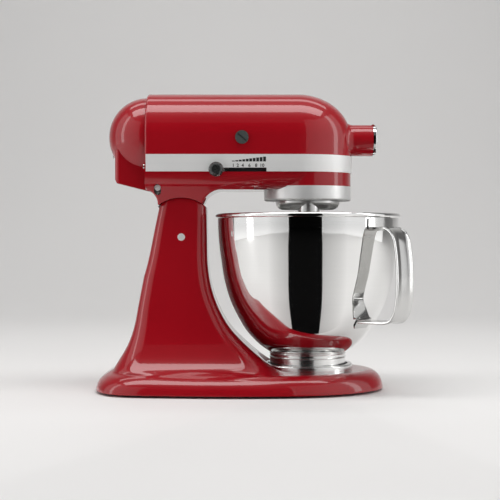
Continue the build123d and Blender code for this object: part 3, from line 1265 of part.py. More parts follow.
with BuildPart() as bowl_foot:
    with Locations((BOWL_X, 0, BOWL_FOOT_LOW)):
        bar(BOWL_FOOT_R, BOWL_FLOOR - BOWL_FOOT_LOW)
        bar(BOWL_FOOT_R - 1.6, 60, mode=Mode.SUBTRACT)
    for bead_z in (BOWL_FLOOR - 5.5, BOWL_FLOOR - 1.2):
        with Locations((BOWL_X, 0, bead_z)):
            Torus(BOWL_FOOT_R - 0.3, 1.0)
    for turn in LIP_TURNS:
        with BuildSketch(Plane.XY.offset(BOWL_FOOT_LOW)):
            with BuildLine(Location((BOWL_X, 0), (0, 0, turn))):
                low_arc = CenterArc((0, 0), BOWL_FOOT_R - 0.8, -14, 28)
                high_arc = CenterArc((0, 0), BOWL_FOOT_R + 2.5, -14, 28)
                Line(low_arc @ 0, high_arc @ 0)
                Line(low_arc @ 1, high_arc @ 1)
            make_face()
        extrude(amount=1.6)
save(bowl_foot.part, "bowl_foot")

# Strap handle in a plane through the bowl's axis
STRAP = [
    (118, 191), (124, 190.4), (130, 187), (135, 180), (138, 167), (140, 147), (140.2, 127), (138.4, 105),
    (135, 93.5), (129.5, 86.6), (121, 84.2), (108, 84),
]
STRAP_START = RIM_R + 1.2
STRAP_END = 85.0
TAB_LOW = 189.9
TAB_HIGH = 202.0
TAB_TURN = 12.5


def strap_side(lift):
    """Points along the strap's line, moved out of it by a lift."""
    points = []
    for index, (reach, height) in enumerate(STRAP):
        before = STRAP[max(index - 1, 0)]
        after = STRAP[min(index + 1, len(STRAP) - 1)]
        run = (after[0] - before[0], after[1] - before[1])
        length = sqrt(run[0] ** 2 + run[1] ** 2)
        points.append((reach - run[1] / length * lift, height + run[0] / length * lift))
    return points


with BuildPart() as handle:
    over = strap_side(STRAP_T / 2)
    under = strap_side(-STRAP_T / 2)
    with BuildSketch(Plane.XZ.offset(-STRAP_HALF)):
        with BuildLine():
            Line((STRAP_START, over[0][1]), over[0])
            Spline(*over)
            Line(over[-1], (STRAP_END, over[-1][1]))
            Line((STRAP_END, over[-1][1]), (STRAP_END, under[-1][1]))
            Line((STRAP_END, under[-1][1]), under[-1])
            Spline(*reversed(under))
            Line(under[0], (STRAP_START, under[0][1]))
            Line((STRAP_START, under[0][1]), (STRAP_START, over[0][1]))
        make_face()
    extrude(amount=2 * STRAP_HALF)
    with BuildSketch(Plane.XZ.rotated((0, 0, -TAB_TURN))):
        with Locations((RIM_R + 1.4, TAB_LOW)):
            Rectangle(STRAP_T, TAB_HIGH - TAB_LOW, align=(Align.CENTER, Align.MIN))
    revolve(axis=Axis.Z, revolution_arc=2 * TAB_TURN)
save(Pos(BOWL_X, 0, 0) * Rot(0, 0, HANDLE_TURN) * handle.part, "bowl_handle")
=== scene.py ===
"""Looks of the tilt-head stand mixer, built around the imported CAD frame. Metres, +X to the hub, +Z up."""
import json
import math

import bmesh
import bpy
import numpy as np
from mathutils import Matrix, Vector


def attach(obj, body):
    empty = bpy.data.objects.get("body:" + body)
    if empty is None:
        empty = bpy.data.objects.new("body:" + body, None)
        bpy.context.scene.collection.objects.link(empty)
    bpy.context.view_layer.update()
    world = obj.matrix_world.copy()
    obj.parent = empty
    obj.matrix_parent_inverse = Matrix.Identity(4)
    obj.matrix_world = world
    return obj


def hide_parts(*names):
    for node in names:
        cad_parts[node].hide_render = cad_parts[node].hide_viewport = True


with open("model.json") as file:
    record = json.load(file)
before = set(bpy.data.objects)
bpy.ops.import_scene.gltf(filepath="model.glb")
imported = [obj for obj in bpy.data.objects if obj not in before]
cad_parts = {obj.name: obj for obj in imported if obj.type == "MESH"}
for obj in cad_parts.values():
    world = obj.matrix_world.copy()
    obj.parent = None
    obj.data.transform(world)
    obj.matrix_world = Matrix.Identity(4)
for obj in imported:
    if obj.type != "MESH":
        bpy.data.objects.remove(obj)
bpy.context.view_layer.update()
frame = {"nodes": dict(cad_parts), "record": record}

# Sizes are in millimetres, apart from the stage and its lamps, which are in metres
MM = 0.001
SEAM = 0.0001 * MM
BOWL_X = 69.0
HINGE = (-80.5, 181.0)


class Wire:
    """A shader socket that can be used in sums."""

    def __init__(self, finish, socket):
        self.finish = finish
        self.socket = socket

    def _sum(self, operation, first, second):
        return self.finish.add("ShaderNodeMath", {"operation": operation}, {0: first, 1: second})

    def __add__(self, other):
        return self._sum("ADD", self, other)

    def __radd__(self, other):
        return self._sum("ADD", other, self)

    def __sub__(self, other):
        return self._sum("SUBTRACT", self, other)

    def __rsub__(self, other):
        return self._sum("SUBTRACT", other, self)

    def __mul__(self, other):
        return self._sum("MULTIPLY", self, other)

    def __rmul__(self, other):
        return self._sum("MULTIPLY", other, self)

    def __truediv__(self, other):
        return self._sum("DIVIDE", self, other)

    def __rtruediv__(self, other):
        return self._sum("DIVIDE", other, self)


class Finish:
    """One procedural material on Object coordinates."""

    def __init__(self, name):
        self.material = bpy.data.materials.new(name)
        self.material.use_nodes = True
        self.tree = self.material.node_tree
        self.shader = self.tree.nodes["Principled BSDF"]
        self.place = Wire(self, self.tree.nodes.new("ShaderNodeTexCoord").outputs["Object"])

    def add(self, kind, settings=None, inputs=None, out=0):
        """Adds a node: its settings first, then its inputs. Gives the wanted output."""
        node = self.tree.nodes.new(kind)
        for key, value in (settings or {}).items():
            setattr(node, key, value)
        for key, value in (inputs or {}).items():
            self.feed(node.inputs[key], value)
        return Wire(self, node.outputs[out])

    def feed(self, socket, value):
        """Links a wire to a socket, or sets a plain value on it."""
        if isinstance(value, Wire):
            self.tree.links.new(value.socket, socket)
        else:
            socket.default_value = value

    def set(self, **values):
        """Sets sockets of the main shader."""
        for key, value in values.items():
            self.feed(self.shader.inputs[key.replace("_", " ")], value)
        return self

    def stretch(self, x, y, z):
        """Object coordinates scaled along each axis."""
        return self.add("ShaderNodeMapping", None, {"Vector": self.place, "Scale": (x, y, z)})

    def noise(self, vector, scale, detail=2.0, roughness=0.5):
        """Noise value from 0 to 1."""
        values = {"Vector": vector, "Scale": scale, "Detail": detail, "Roughness": roughness}
        return self.add("ShaderNodeTexNoise", None, values)

    def blend(self, share, first, second):
        """Mix of two colours."""
        values = {0: share, 6: (*first, 1.0), 7: (*second, 1.0)}
        return self.add("ShaderNodeMix", {"data_type": "RGBA"}, values, out=2)

    def bump(self, height, strength, distance):
        """Bump fed to the main shader's normal."""
        values = {"Strength": strength, "Distance": distance, "Height": height}
        return self.set(Normal=self.add("ShaderNodeBump", None, values))


def enamel(name, light, dark):
    """Glossy enamel with a faint cloudiness and a trace of orange peel."""
    made = Finish(name)
    cloud = made.noise(made.place, scale=9.0, detail=3.0)
    peel = made.noise(made.place, scale=420.0, detail=1.0)
    made.set(Base_Color=made.blend(cloud, dark, light), Roughness=0.30 + cloud * 0.06)
    made.set(Coat_Weight=1.0, Coat_Roughness=0.02, Coat_IOR=1.45, Specular_IOR_Level=0.2)
    return made.bump(peel, strength=0.02, distance=0.4 * MM).material


def lined_metal(name, tone, rough, stretch, depth, spread=0.10, metal=1.0):
    """Metal with fine lines along the direction the stretch leaves long."""
    made = Finish(name)
    lines = made.noise(made.stretch(*stretch), scale=1.0, detail=4.0, roughness=0.65)
    patch = made.noise(made.place, scale=24.0)
    darker = tuple(part * 0.88 for part in tone)
    made.set(Base_Color=made.blend(lines * 0.7 + patch * 0.3, darker, tone), Metallic=metal)
    made.set(Roughness=(rough - spread / 2) + lines * spread)
    return made.bump(lines, depth, distance=0.2 * MM).material


def moulded(name, tone, rough, grain=900.0, depth=0.05, coat=0.0):
    """Moulded plastic or rubber with a fine grain."""
    made = Finish(name)
    fine = made.noise(made.place, grain)
    patch = made.noise(made.place, scale=40.0)
    paler = tuple(part * 1.35 + 0.004 for part in tone)
    made.set(Base_Color=made.blend(patch, tone, paler), Roughness=rough + fine * 0.10)
    made.set(Coat_Weight=coat, Coat_Roughness=0.08)
    return made.bump(fine, depth, distance=0.3 * MM).material


finishes = {
    "red_paint": enamel("red enamel", (0.345, 0.0008, 0.0075), (0.300, 0.0006, 0.0060)),
    "band_metal": lined_metal("satin band", (0.86, 0.86, 0.85), 0.46, (12, 12, 2600), 0.05, 0.10, 0.35),
    "ring_metal": lined_metal("turned ring", (0.84, 0.84, 0.83), 0.36, (14, 14, 1900), 0.05, 0.10, 0.45),
    "cast_alloy": lined_metal("burnished alloy", (0.66, 0.66, 0.65), 0.30, (300, 300, 300), 0.10, 0.16),
    "polished_steel": lined_metal("polished bowl steel", (0.91, 0.91, 0.90), 0.05, (5, 5, 1500), 0.01, 0.03),
    "handle_steel": lined_metal("brushed handle steel", (0.70, 0.70, 0.69), 0.15, (900, 900, 30), 0.03),
    "cover_chrome": lined_metal("polished cap", (0.80, 0.80, 0.80), 0.09, (300, 40, 40), 0.02, 0.05),
    "black_plastic": moulded("black gloss plastic", (0.016, 0.017, 0.017), 0.22, 500.0, 0.02, 0.5),
    "cap_plastic": moulded("brush cap plastic", (0.040, 0.046, 0.044), 0.42),
    "pin_steel": lined_metal("bright pin ends", (0.84, 0.84, 0.83), 0.30, (900, 900, 900), 0.03, 0.08, 0.30),
    "foot_steel": lined_metal("spun foot steel", (0.86, 0.86, 0.85), 0.20, (5, 5, 1500), 0.015, 0.05),
    "ink": moulded("scale ink", (0.006, 0.006, 0.006), 0.60),
    "dark_plastic": moulded("dark matt plastic", (0.022, 0.022, 0.024), 0.50),
    "screw_steel": lined_metal("plated steel", (0.66, 0.66, 0.65), 0.20, (500, 60, 500), 0.03),
    "shaft_steel": lined_metal("ground steel", (0.62, 0.62, 0.62), 0.24, (60, 60, 1800), 0.05),
    "gear_steel": lined_metal("cut gear steel", (0.46, 0.46, 0.47), 0.36, (200, 200, 900), 0.08),
    "bronze": lined_metal("sintered bronze", (0.60, 0.36, 0.16), 0.40, (700, 700, 700), 0.12),
    "copper": lined_metal("enamelled copper", (0.62, 0.24, 0.09), 0.32, (1500, 40, 1500), 0.25),
    "core_steel": lined_metal("laminated core", (0.26, 0.26, 0.27), 0.42, (1800, 30, 30), 0.30),
    "carbon": moulded("pressed carbon", (0.035, 0.035, 0.036), 0.62),
    "foot_rubber": moulded("foot rubber", (0.020, 0.020, 0.021), 0.68, 700.0, 0.20),
}
OWN_LOOK = {
    "brush_caps": "cap_plastic", "bowl_clamp_plate": "foot_steel", "bowl_foot": "foot_steel",
    "lock_rod": "pin_steel", "hinge_pin": "pin_steel",
}
for part in frame["record"]["subparts"]:
    slots = frame["nodes"][part["node"]].data.materials
    slots.clear()
    slots.append(finishes[OWN_LOOK.get(part["node"], part["material_slot"])])


def keep(mesh, name, body, node_names=(), sharp=None):
    """Closes a mesh's seams, turns its faces outwards, puts it on its body and hides the nodes it stands
    for.
    """
    bm = bmesh.new()
    bm.from_mesh(mesh)
    bmesh.ops.remove_doubles(bm, verts=bm.verts, dist=SEAM)
    bmesh.ops.recalc_face_normals(bm, faces=bm.faces)
    bm.to_mesh(mesh)
    bm.free()
    if sharp is not None:
        mesh.shade_smooth()
        mesh.set_sharp_from_angle(angle=math.radians(sharp))
    made = bpy.data.objects.new(name, mesh)
    bpy.context.scene.collection.objects.link(made)
    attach(made, body)
    for node in node_names:
        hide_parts(node)


def piece(name, points, faces, body, slot, sharp, node_names=()):
    """Makes a mesh piece from points in millimetres. Edges past the sharp angle, in degrees, stay crisp."""
    mesh = bpy.data.meshes.new(name)
    mesh.from_pydata([tuple(c * MM for c in point) for point in points], [], faces)
    mesh.materials.append(finishes[slot])
    keep(mesh, name, body, node_names, sharp)


class Growth:
    """A geometry tree with named sizes that ends in real geometry with a finish."""

    def __init__(self, name, sizes):
        self.tree = bpy.data.node_groups.new(name, "GeometryNodeTree")
        self.tree.interface.new_socket("Geometry", in_out="INPUT", socket_type="NodeSocketGeometry")
        for size, kind in sizes.items():
            self.tree.interface.new_socket(size, in_out="INPUT", socket_type="NodeSocket" + kind)
        self.tree.interface.new_socket("Geometry", in_out="OUTPUT", socket_type="NodeSocketGeometry")
        self.given = self.tree.nodes.new("NodeGroupInput").outputs

    def add(self, kind, settings=None, inputs=None, out=0):
        """Adds a node: its settings first, then its inputs. Gives the wanted output."""
        node = self.tree.nodes.new(kind)
        for key, value in (settings or {}).items():
            setattr(node, key, value)
        for key, value in (inputs or {}).items():
            if isinstance(value, bpy.types.NodeSocket):
                self.tree.links.new(value, node.inputs[key])
            else:
                node.inputs[key].default_value = value
        return node.outputs[out]

    def close(self, geometry, finish):
        """Ends the tree."""
        real = self.add("GeometryNodeRealizeInstances", None, {"Geometry": geometry})
        done = self.add("GeometryNodeSetMaterial", None, {"Geometry": real, "Material": finish})
        self.tree.links.new(done, self.tree.nodes.new("NodeGroupOutput").inputs["Geometry"])

    def mesh(self, name, sizes, points=(), edges=(), section=0):
        """Plain mesh grown from points in millimetres, of which the first may be marked as a section."""
        seed = bpy.data.meshes.new(name + " seed")
        seed.from_pydata([tuple(c * MM for c in point) for point in points], edges, [])
        if section:
            marks = seed.attributes.new("section", "BOOLEAN", "POINT")
            marks.data.foreach_set("value", [index < section for index in range(len(points))])
        host = bpy.data.objects.new(name + " seed", seed)
        bpy.context.scene.collection.objects.link(host)
        modifier = host.modifiers.new("growth", "NODES")
        modifier.node_group = self.tree
        for item in self.tree.interface.items_tree:
            if item.in_out == "INPUT" and item.name in sizes:
                modifier[item.identifier] = sizes[item.name]
        host.update_tag()
        bpy.context.view_layer.update()
        mesh = bpy.data.meshes.new_from_object(host.evaluated_get(bpy.context.evaluated_depsgraph_get()))
        host.modifiers.remove(modifier)
        bpy.data.objects.remove(host)
        mesh.name = name
        return mesh


def ring_faces(rings, count):
    """Quads between rings of points, with a flat face at each end."""
    faces = []
    for ring in range(rings - 1):
        low, high = ring * count, (ring + 1) * count
        for step in range(count):
            after = (step + 1) % count
            faces.append((low + step, low + after, high + after, high + step))
    faces.append(tuple(reversed(range(count))))
    faces.append(tuple(range((rings - 1) * count, rings * count)))
    return faces


def span_points(start, end, start_slope, end_slope, gap, count):
    """Points on a smooth curve from a start up to an end, without the end."""
    made = []
    for t in np.linspace(0, 1, count, endpoint=False):
        at_ends = (2 * t**3 - 3 * t**2 + 1) * start + (-2 * t**3 + 3 * t**2) * end
        leaning = (t**3 - 2 * t**2 + t) * start_slope + (t**3 - t**2) * end_slope
        made.append(at_ends + gap * leaning)
    return made


def smooth_line(points, per_span):
    """Points on an open smooth line through the given points."""
    pts = np.array(points, float)
    steps = np.r_[0.0, np.cumsum(np.linalg.norm(np.diff(pts, axis=0), axis=1))]
    slopes = np.gradient(pts, steps, axis=0, edge_order=2)
    line = []
    for i in range(len(pts) - 1):
        gap = steps[i + 1] - steps[i]
        line += span_points(pts[i], pts[i + 1], slopes[i], slopes[i + 1], gap, per_span)
    line.append(pts[-1])
    return np.array(line)


def closed_spline(points, per_span=60):
    """Dense closed smooth line through plan points."""
    pts = np.array(points, float)
    count = len(pts)
    gaps = np.linalg.norm(np.roll(pts, -1, axis=0) - pts, axis=1)
    table = np.zeros((count, count))
    right = np.zeros((count, 2))
    for i in range(count):
        before, after = gaps[i - 1], gaps[i]
        following = (i + 1) % count
        table[i, i - 1] = after
        table[i, i] = 2 * (before + after)
        table[i, following] = before
        right[i] = 3 * (before / after * (pts[following] - pts[i]) + after / before * (pts[i] - pts[i - 1]))
    slopes = np.linalg.solve(table, right)
    line = []
    for i in range(count):
        following = (i + 1) % count
        line += span_points(pts[i], pts[following], slopes[i], slopes[following], gaps[i], per_span)
    return np.array(line)


def loop(count):
    """Edges of a closed line of points."""
    return [(step, (step + 1) % count) for step in range(count)]


def soft_step(values):
    """Values limited to 0 to 1, with soft ends."""
    limited = np.clip(values, 0, 1)
    return limited * limited * (3 - 2 * limited)


# Stand casting: base, flare and column in one smooth skin
BASE_EDGE = [
    (-181, 0), (-178.5, 45), (-160, 78), (-110, 92), (-40, 98),
    (30, 97), (90, 86), (131, 62), (152, 34), (159, 0),
]
BASE_MID, BASE_HALF, BASE_FRONT = -11.0, 98.0, 159.0
BASE_LOW, BASE_TOP = 2.5, 24.0
# Rings under the base: how far drawn in, share of the way out from the middle, level
UNDERSIDE = [
    (16.0, 0.05, 11.0), (16.0, 0.6, 11.0), (16.0, 1.0, 11.0), (13.5, 1.0, 9.5), (12.0, 1.0, BASE_LOW + 0.6),
    (11.4, 1.0, BASE_LOW), (1.2, 1.0, BASE_LOW),
]
EDGE_INSET, EDGE_RINGS, EDGE_LIFT = 19.0, 18, 0.5
EDGE_IN_POWER, EDGE_UP_POWER = 0.86, 1.06
PAD_RINGS = 12
# Column: level, back, front, half width, corner radius
COLUMN = [
    (BASE_TOP, -161.8, 54.0, 79.0, 40.0), (25.2, -161.0, 43.0, 76.0, 37.0), (28.0, -159.4, 31.5, 71.0, 33.0),
    (32.5, -156.6, 22.5, 66.0, 30.0), (40.0, -151.6, 12.5, 60.5, 27.0), (55.0, -143.0, -5.0, 53.0, 22.0),
    (76.0, -136.0, -24.5, 46.0, 18.0), (98.0, -132.0, -37.0, 42.0, 16.0), (126.5, -126.8, -46.5, 38.0, 15.0),
    (145.0, -123.2, -49.2, 36.3, 14.4), (161.6, -119.9, -50.2, 35.0, 14.0),
    (176.0, -117.2, -50.5, 34.0, 13.5), (191.5, -114.4, -50.7, 33.0, 13.0),
    (211.0, -110.4, -51.0, 32.5, 12.5), (230.0, -106.0, -51.2, 32.0, 12.0),
]
COLUMN_TOP, COLUMN_TOP_R = 226.0, 45.3
COLUMN_LEVELS = [(BASE_TOP, 32.0, 12), (33.0, 60.0, 18), (62.0, 150.0, 34), (153.0, COLUMN_TOP, 30)]
# The column's top follows the neck's round from this share of its height on
ROUND_FROM = 0.55
# Lip and inside of the column's top: how far drawn in, drop below the round
COLUMN_LIP = [(0.25, -0.5), (0.8, -0.8), (3.2, -0.8), (3.8, -0.4), (4.0, 0.4), (4.0, 30.0), (4.0, 62.0)]
# The flare lands on the round pad under the bowl, which stays level
LANDING_R, LANDING_WIDTH = 54.0, 5.0
# Rings that are smoothed along the skin, away from the pad
EASED_RINGS, EDGE_BLEND, END_SPREADS = 73, 8.0, 2.5
CALM_R, CALM_WIDTH = 72.0, 40.0
SIDE, CORNER = 22, 22
RING = 4 * (SIDE + CORNER)


def rounded_ring(back, front, half, corner):
    """Rounded rectangle in plan, always with the same number of points on each side and corner."""
    x_signs, y_signs = (1, -1, -1, 1), (1, 1, -1, -1)

    def on_corner(quarter, turn):
        middle_x = (front - corner) if x_signs[quarter] > 0 else (back + corner)
        middle_y = y_signs[quarter] * (half - corner)
        return np.array((middle_x + corner * math.cos(turn), middle_y + corner * math.sin(turn)))

    ring = []
    for quarter in range(4):
        for step in range(CORNER):
            ring.append(on_corner(quarter, math.pi / 2 * (quarter + step / CORNER)))
        turn = math.pi / 2 * (quarter + 1)
        start, end = on_corner(quarter, turn), on_corner((quarter + 1) % 4, turn)
        for step in range(SIDE):
            ring.append(start + (end - start) * step / SIDE)
    return np.array(ring)


def base_ring(draw_in, directions, hub):
    """Base outline, drawn in, at the plan directions of the column's foot ring."""
    shrink = (1 - draw_in / BASE_FRONT, 1 - draw_in / BASE_HALF)
    near = [(BASE_MID + (x - BASE_MID) * shrink[0], y * shrink[1]) for x, y in BASE_EDGE]
    dense = closed_spline(near + [(x, -y) for x, y in reversed(near[1:-1])])
    offset = dense - hub
    angle = np.arctan2(offset[:, 1], offset[:, 0])
    order = np.argsort(angle)
    reach = np.interp(directions, angle[order], np.linalg.norm(offset, axis=1)[order], period=2 * math.pi)
    return hub + np.c_[np.cos(directions), np.sin(directions)] * reach[:, None]


def eased(stack, share, spread):
    """Rings of points, with each line from ring to ring smoothed along its length by its own share."""
    made = stack.copy()
    for place in range(stack.shape[1]):
        line = stack[:, place]
        gaps = np.linalg.norm(np.diff(line, axis=0), axis=1)
        along = np.r_[0, np.cumsum(gaps)]
        near = np.exp(-((along[:, None] - along[None]) ** 2) / (2 * spread**2)) * np.gradient(along)
        from_ends = np.minimum(along, along[-1] - along) / (END_SPREADS * spread)
        blend = (share[place] * soft_step(from_ends))[:, None]
        made[:, place] = line * (1 - blend) + near @ line / near.sum(axis=1)[:, None] * blend
    return made


def column_width(column, levels):
    """One width of the column at the given levels, on a smooth line through its table."""
    dense = smooth_line(np.array(COLUMN)[:, [0, column]], per_span=40)
    return np.interp(levels, dense[:, 0], dense[:, 1])


def round_level(plan):
    """Level of the round that the column's top follows, over plan points."""
    side = plan[:, 0] - HINGE[0]
    return HINGE[1] + np.sqrt(np.maximum(COLUMN_TOP_R**2 - side**2, 0))


def stand_casting():
    """One closed skin from the base's underside over its rounded edge up to the top of the column."""
    foot = rounded_ring(*COLUMN[0][1:])
    hub = np.array([(COLUMN[0][1] + COLUMN[0][2]) / 2, 0.0])
    directions = np.arctan2(foot[:, 1] - hub[1], foot[:, 0] - hub[0])
    rings = []

    def level(plan, height):
        rings.append(np.c_[plan, np.full(len(plan), height) if np.isscalar(height) else height])

    for draw_in, share, height in UNDERSIDE:
        level(hub + (base_ring(draw_in, directions, hub) - hub) * share, height)
    edge_low = BASE_LOW + EDGE_LIFT
    for turn in np.linspace(0.0, math.pi / 2, EDGE_RINGS):
        inset = EDGE_INSET * (1 - math.cos(turn) ** EDGE_IN_POWER)
        rise = (BASE_TOP - edge_low) * math.sin(turn) ** EDGE_UP_POWER
        level(base_ring(inset, directions, hub), edge_low + rise)
    edge = base_ring(EDGE_INSET, directions, hub)
    for share in np.linspace(0, 1, PAD_RINGS + 2)[1:-1]:
        level(edge + (foot - edge) * share, BASE_TOP)
    heights = np.concatenate([np.linspace(*stretch) for stretch in COLUMN_LEVELS])
    widths = [column_width(column, heights) for column in (1, 2, 3, 4)]
    plans = [rounded_ring(*sizes) for sizes in zip(*widths)]
    for plan, height in zip(plans, heights):
        landing = soft_step((np.hypot(plan[:, 0] - BOWL_X, plan[:, 1]) - LANDING_R) / LANDING_WIDTH)
        climbed = (height - BASE_TOP) / (COLUMN_TOP - BASE_TOP)
        fold = np.clip((climbed - ROUND_FROM) / (1 - ROUND_FROM), 0, 1)
        fitted = height * (1 - fold) + (height - COLUMN_TOP + round_level(plan)) * fold
        level(plan, BASE_TOP + (fitted - BASE_TOP) * landing)
    top_plan = plans[-1]
    middle = (top_plan.max(axis=0) + top_plan.min(axis=0)) / 2
    for draw_in, drop in COLUMN_LIP:
        shrink = 1 - draw_in / np.abs(top_plan - middle).max(axis=0)
        plan = middle + (top_plan - middle) * shrink
        level(plan, round_level(plan) - drop)
    stack = np.array(rings)
    calm = soft_step((np.hypot(foot[:, 0] - BOWL_X, foot[:, 1]) - CALM_R) / CALM_WIDTH)
    skin = slice(len(UNDERSIDE), len(UNDERSIDE) + EASED_RINGS)
    stack[skin] = eased(stack[skin], calm, EDGE_BLEND)
    faces = ring_faces(len(rings), RING)
    points = stack.reshape(-1, 3)
    piece("stand_casting", points, faces, "stand", "red_paint", 38, ("base_casting", "pedestal"))


stand_casting()

# Painted shade in the gap between the column's top and the neck: radii, half width and turns of a dark strip
GAP_SHADE_R, GAP_SHADE_HALF = (44.0, 45.8), 22.5
GAP_SHADE_TURNS = np.radians(np.linspace(52, 128, 40))


def column_gap_shade():
    """Painted shade: a dark strip inside the column's top that the neck's curve runs over, filling the gap
    between them with shade.
    """
    outline = [(GAP_SHADE_R[0] * math.cos(t), GAP_SHADE_R[0] * math.sin(t)) for t in GAP_SHADE_TURNS]
    outline += [(GAP_SHADE_R[1] * math.cos(t), GAP_SHADE_R[1] * math.sin(t)) for t in GAP_SHADE_TURNS[::-1]]
    sides = (-GAP_SHADE_HALF, GAP_SHADE_HALF)
    points = [(HINGE[0] + x, side, HINGE[1] + z) for side in sides for x, z in outline]
    faces = ring_faces(2, len(outline))
    # The dark matt plastic here is painted shade that stands in for the shade in the gap
    piece("column_gap_shade", points, faces, "stand", "dark_plastic", 30)


column_gap_shade()

# Rear cover screw: place along its axis and radius
SCREW_LEVEL, SCREW_SIDES = 278.0, 48
SCREW = [
    (-164.5, 2.4), (-164.3, 3.0), (-163.7, 3.3), (-163.6, 3.3), (-163.6, 1.8), (-149.0, 1.8), (-148.2, 1.2)
]


def cover_screw():
    """Flat screw head and shank, turned about a level axis."""
    points = []
    for place, radius in SCREW:
        for turn in np.arange(SCREW_SIDES) * 2 * math.pi / SCREW_SIDES:
            points.append((place, radius * math.cos(turn), SCREW_LEVEL + radius * math.sin(turn)))
    faces = ring_faces(len(SCREW), SCREW_SIDES)
    piece("cover_screw", points, faces, "head", "screw_steel", 30, ("rear_cover_screw",))


cover_screw()

# Mixing bowl: spun sheet with a rolled rim, given by radius and level
BOWL_WALL = [
    (45.5, 44.5), (54.6, 50.4), (65.4, 60.0), (73.8, 69.6), (83.0, 84.0), (92.6, 103.0),
    (100.2, 127.0), (105.0, 156.0), (107.6, 180.0), (108.4, 204.0),
]
BOWL_SHEET = 1.4
RIM_MIDDLE, RIM_R = (108.2, 206.2), 2.85
RIM_TURNS = np.radians(np.linspace(-80, 225, 26))
FLOOR_OUTSIDE = [(0.05, 44.5), (20.0, 44.5), (40.0, 44.5)]
FLOOR_INSIDE = [(40.0, 46.0), (20.0, 45.9), (0.05, 45.9)]
TURN_R, BOWL_SIDES = 60.0, 256
wall = smooth_line(BOWL_WALL, per_span=12)


def shell_profile():
    """Closed outline of the sheet: under the floor, up the wall, round the rim and back inside."""
    direction = np.gradient(wall, axis=0)
    direction /= np.linalg.norm(direction, axis=1)[:, None]
    inner = wall + np.c_[-direction[:, 1], direction[:, 0]] * BOWL_SHEET
    rim = [(RIM_MIDDLE[0] + RIM_R * math.cos(t), RIM_MIDDLE[1] + RIM_R * math.sin(t)) for t in RIM_TURNS]
    # The rim takes the place of the two highest points of the inside
    inside = [tuple(point) for point in inner[::-1][2:]]
    return FLOOR_OUTSIDE + [tuple(point) for point in wall] + rim + inside + FLOOR_INSIDE


def spun_tree(finish):
    """Geometry tree: a closed profile swept round a ring, as a bowl is spun."""
    growth = Growth("spun shell", {"Ring radius": "Float", "Sides": "Int"})
    profile = growth.add("GeometryNodeMeshToCurve", None, {"Mesh": growth.given["Geometry"]})
    sizes = {"Resolution": growth.given["Sides"], "Radius": growth.given["Ring radius"]}
    ring = growth.add("GeometryNodeCurvePrimitiveCircle", {"mode": "RADIUS"}, sizes)
    level_ring = growth.add("GeometryNodeSetCurveNormal", {"mode": "Z_UP"}, {"Curve": ring})
    swept = growth.add("GeometryNodeCurveToMesh", None, {"Curve": level_ring, "Profile Curve": profile})
    growth.close(swept, finish)
    return growth


shell = shell_profile()
bowl = spun_tree(finishes["polished_steel"]).mesh(
    "bowl_shell", {"Ring radius": TURN_R * MM, "Sides": BOWL_SIDES},
    [(radius - TURN_R, -height, 0.0) for radius, height in shell], loop(len(shell)),
)
bowl.transform(Matrix.Translation((BOWL_X * MM, 0.0, 0.0)))
keep(bowl, "bowl_shell", "bowl", ("mixing_bowl",), sharp=40)

# Handle: strap with rolled edges, its line given by reach from the bowl's axis and level
HANDLE_TURN = math.radians(-42.0)
STRAP = [
    (110.4, 191.0), (118, 191.0), (124, 190.4), (130, 187.0), (135, 180), (138, 167), (140, 147),
    (140.2, 127), (138.4, 105), (135, 93.5), (129.5, 86.6), (121, 84.3), (108, 84.0), (96, 84.0), (86, 84.0),
]
STRAP_HALF, STRAP_ROLL = 16.0, 1.7
# Section of the strap: share of its half width, share of the height of its rolled edge
SECTION = [
    (-1, 0), (-0.975, 0.735), (-0.9, 1), (-0.82, 0.70), (-0.756, 0.41), (-0.375, 0.59), (0, 0.65),
    (0.375, 0.59), (0.756, 0.41), (0.82, 0.70), (0.9, 1), (0.975, 0.735), (1, 0), (0.975, -0.65),
    (0.9, -0.765), (0.75, -0.59), (0, -0.53), (-0.75, -0.59), (-0.9, -0.765), (-0.975, -0.65),
]


def radial(reach, across, height):
    """Point given by its reach from the bowl's axis and its place across the handle's plane."""
    x = reach * math.cos(HANDLE_TURN) - across * math.sin(HANDLE_TURN)
    y = reach * math.sin(HANDLE_TURN) + across * math.cos(HANDLE_TURN)
    return (BOWL_X + x, y, height)


def strap_tree(finish):
    """Geometry tree: the marked section, scaled to the strap's size, swept along the other line."""
    growth = Growth("strap along its line", {"Half width": "Float", "Roll": "Float"})
    marked = growth.add("GeometryNodeInputNamedAttribute", {"data_type": "BOOLEAN"}, {"Name": "section"})
    both = {"Geometry": growth.given["Geometry"], "Selection": marked}
    section = growth.add("GeometryNodeSeparateGeometry", {"domain": "POINT"}, both, out="Selection")
    line = growth.add("GeometryNodeSeparateGeometry", {"domain": "POINT"}, both, out="Inverted")
    widths = {"X": growth.given["Half width"], "Y": growth.given["Roll"], "Z": 1.0}
    size = growth.add("ShaderNodeCombineXYZ", None, widths)
    outline = growth.add("GeometryNodeMeshToCurve", None, {"Mesh": section})
    scaled = growth.add("GeometryNodeTransform", None, {"Geometry": outline, "Scale": size})
    path = growth.add("GeometryNodeMeshToCurve", None, {"Mesh": line})
    across = (-math.sin(HANDLE_TURN), math.cos(HANDLE_TURN), 0.0)
    flat = growth.add("GeometryNodeSetCurveNormal", {"mode": "FREE"}, {"Curve": path, "Normal": across})
    sweep = {"Curve": flat, "Profile Curve": scaled, "Fill Caps": True}
    growth.close(growth.add("GeometryNodeCurveToMesh", None, sweep), finish)
    return growth


strap_line = [radial(reach, 0.0, height) for reach, height in smooth_line(STRAP, per_span=8)]
strap_steps = range(len(SECTION), len(SECTION) + len(strap_line) - 1)
strap = strap_tree(finishes["handle_steel"]).mesh(
    "handle_strap", {"Half width": STRAP_HALF, "Roll": STRAP_ROLL},
    [(across, lift, 0.0) for across, lift in SECTION] + strap_line,
    loop(len(SECTION)) + [(step, step + 1) for step in strap_steps], len(SECTION),
)
keep(strap, "handle_strap", "bowl", ("bowl_handle",), sharp=50)

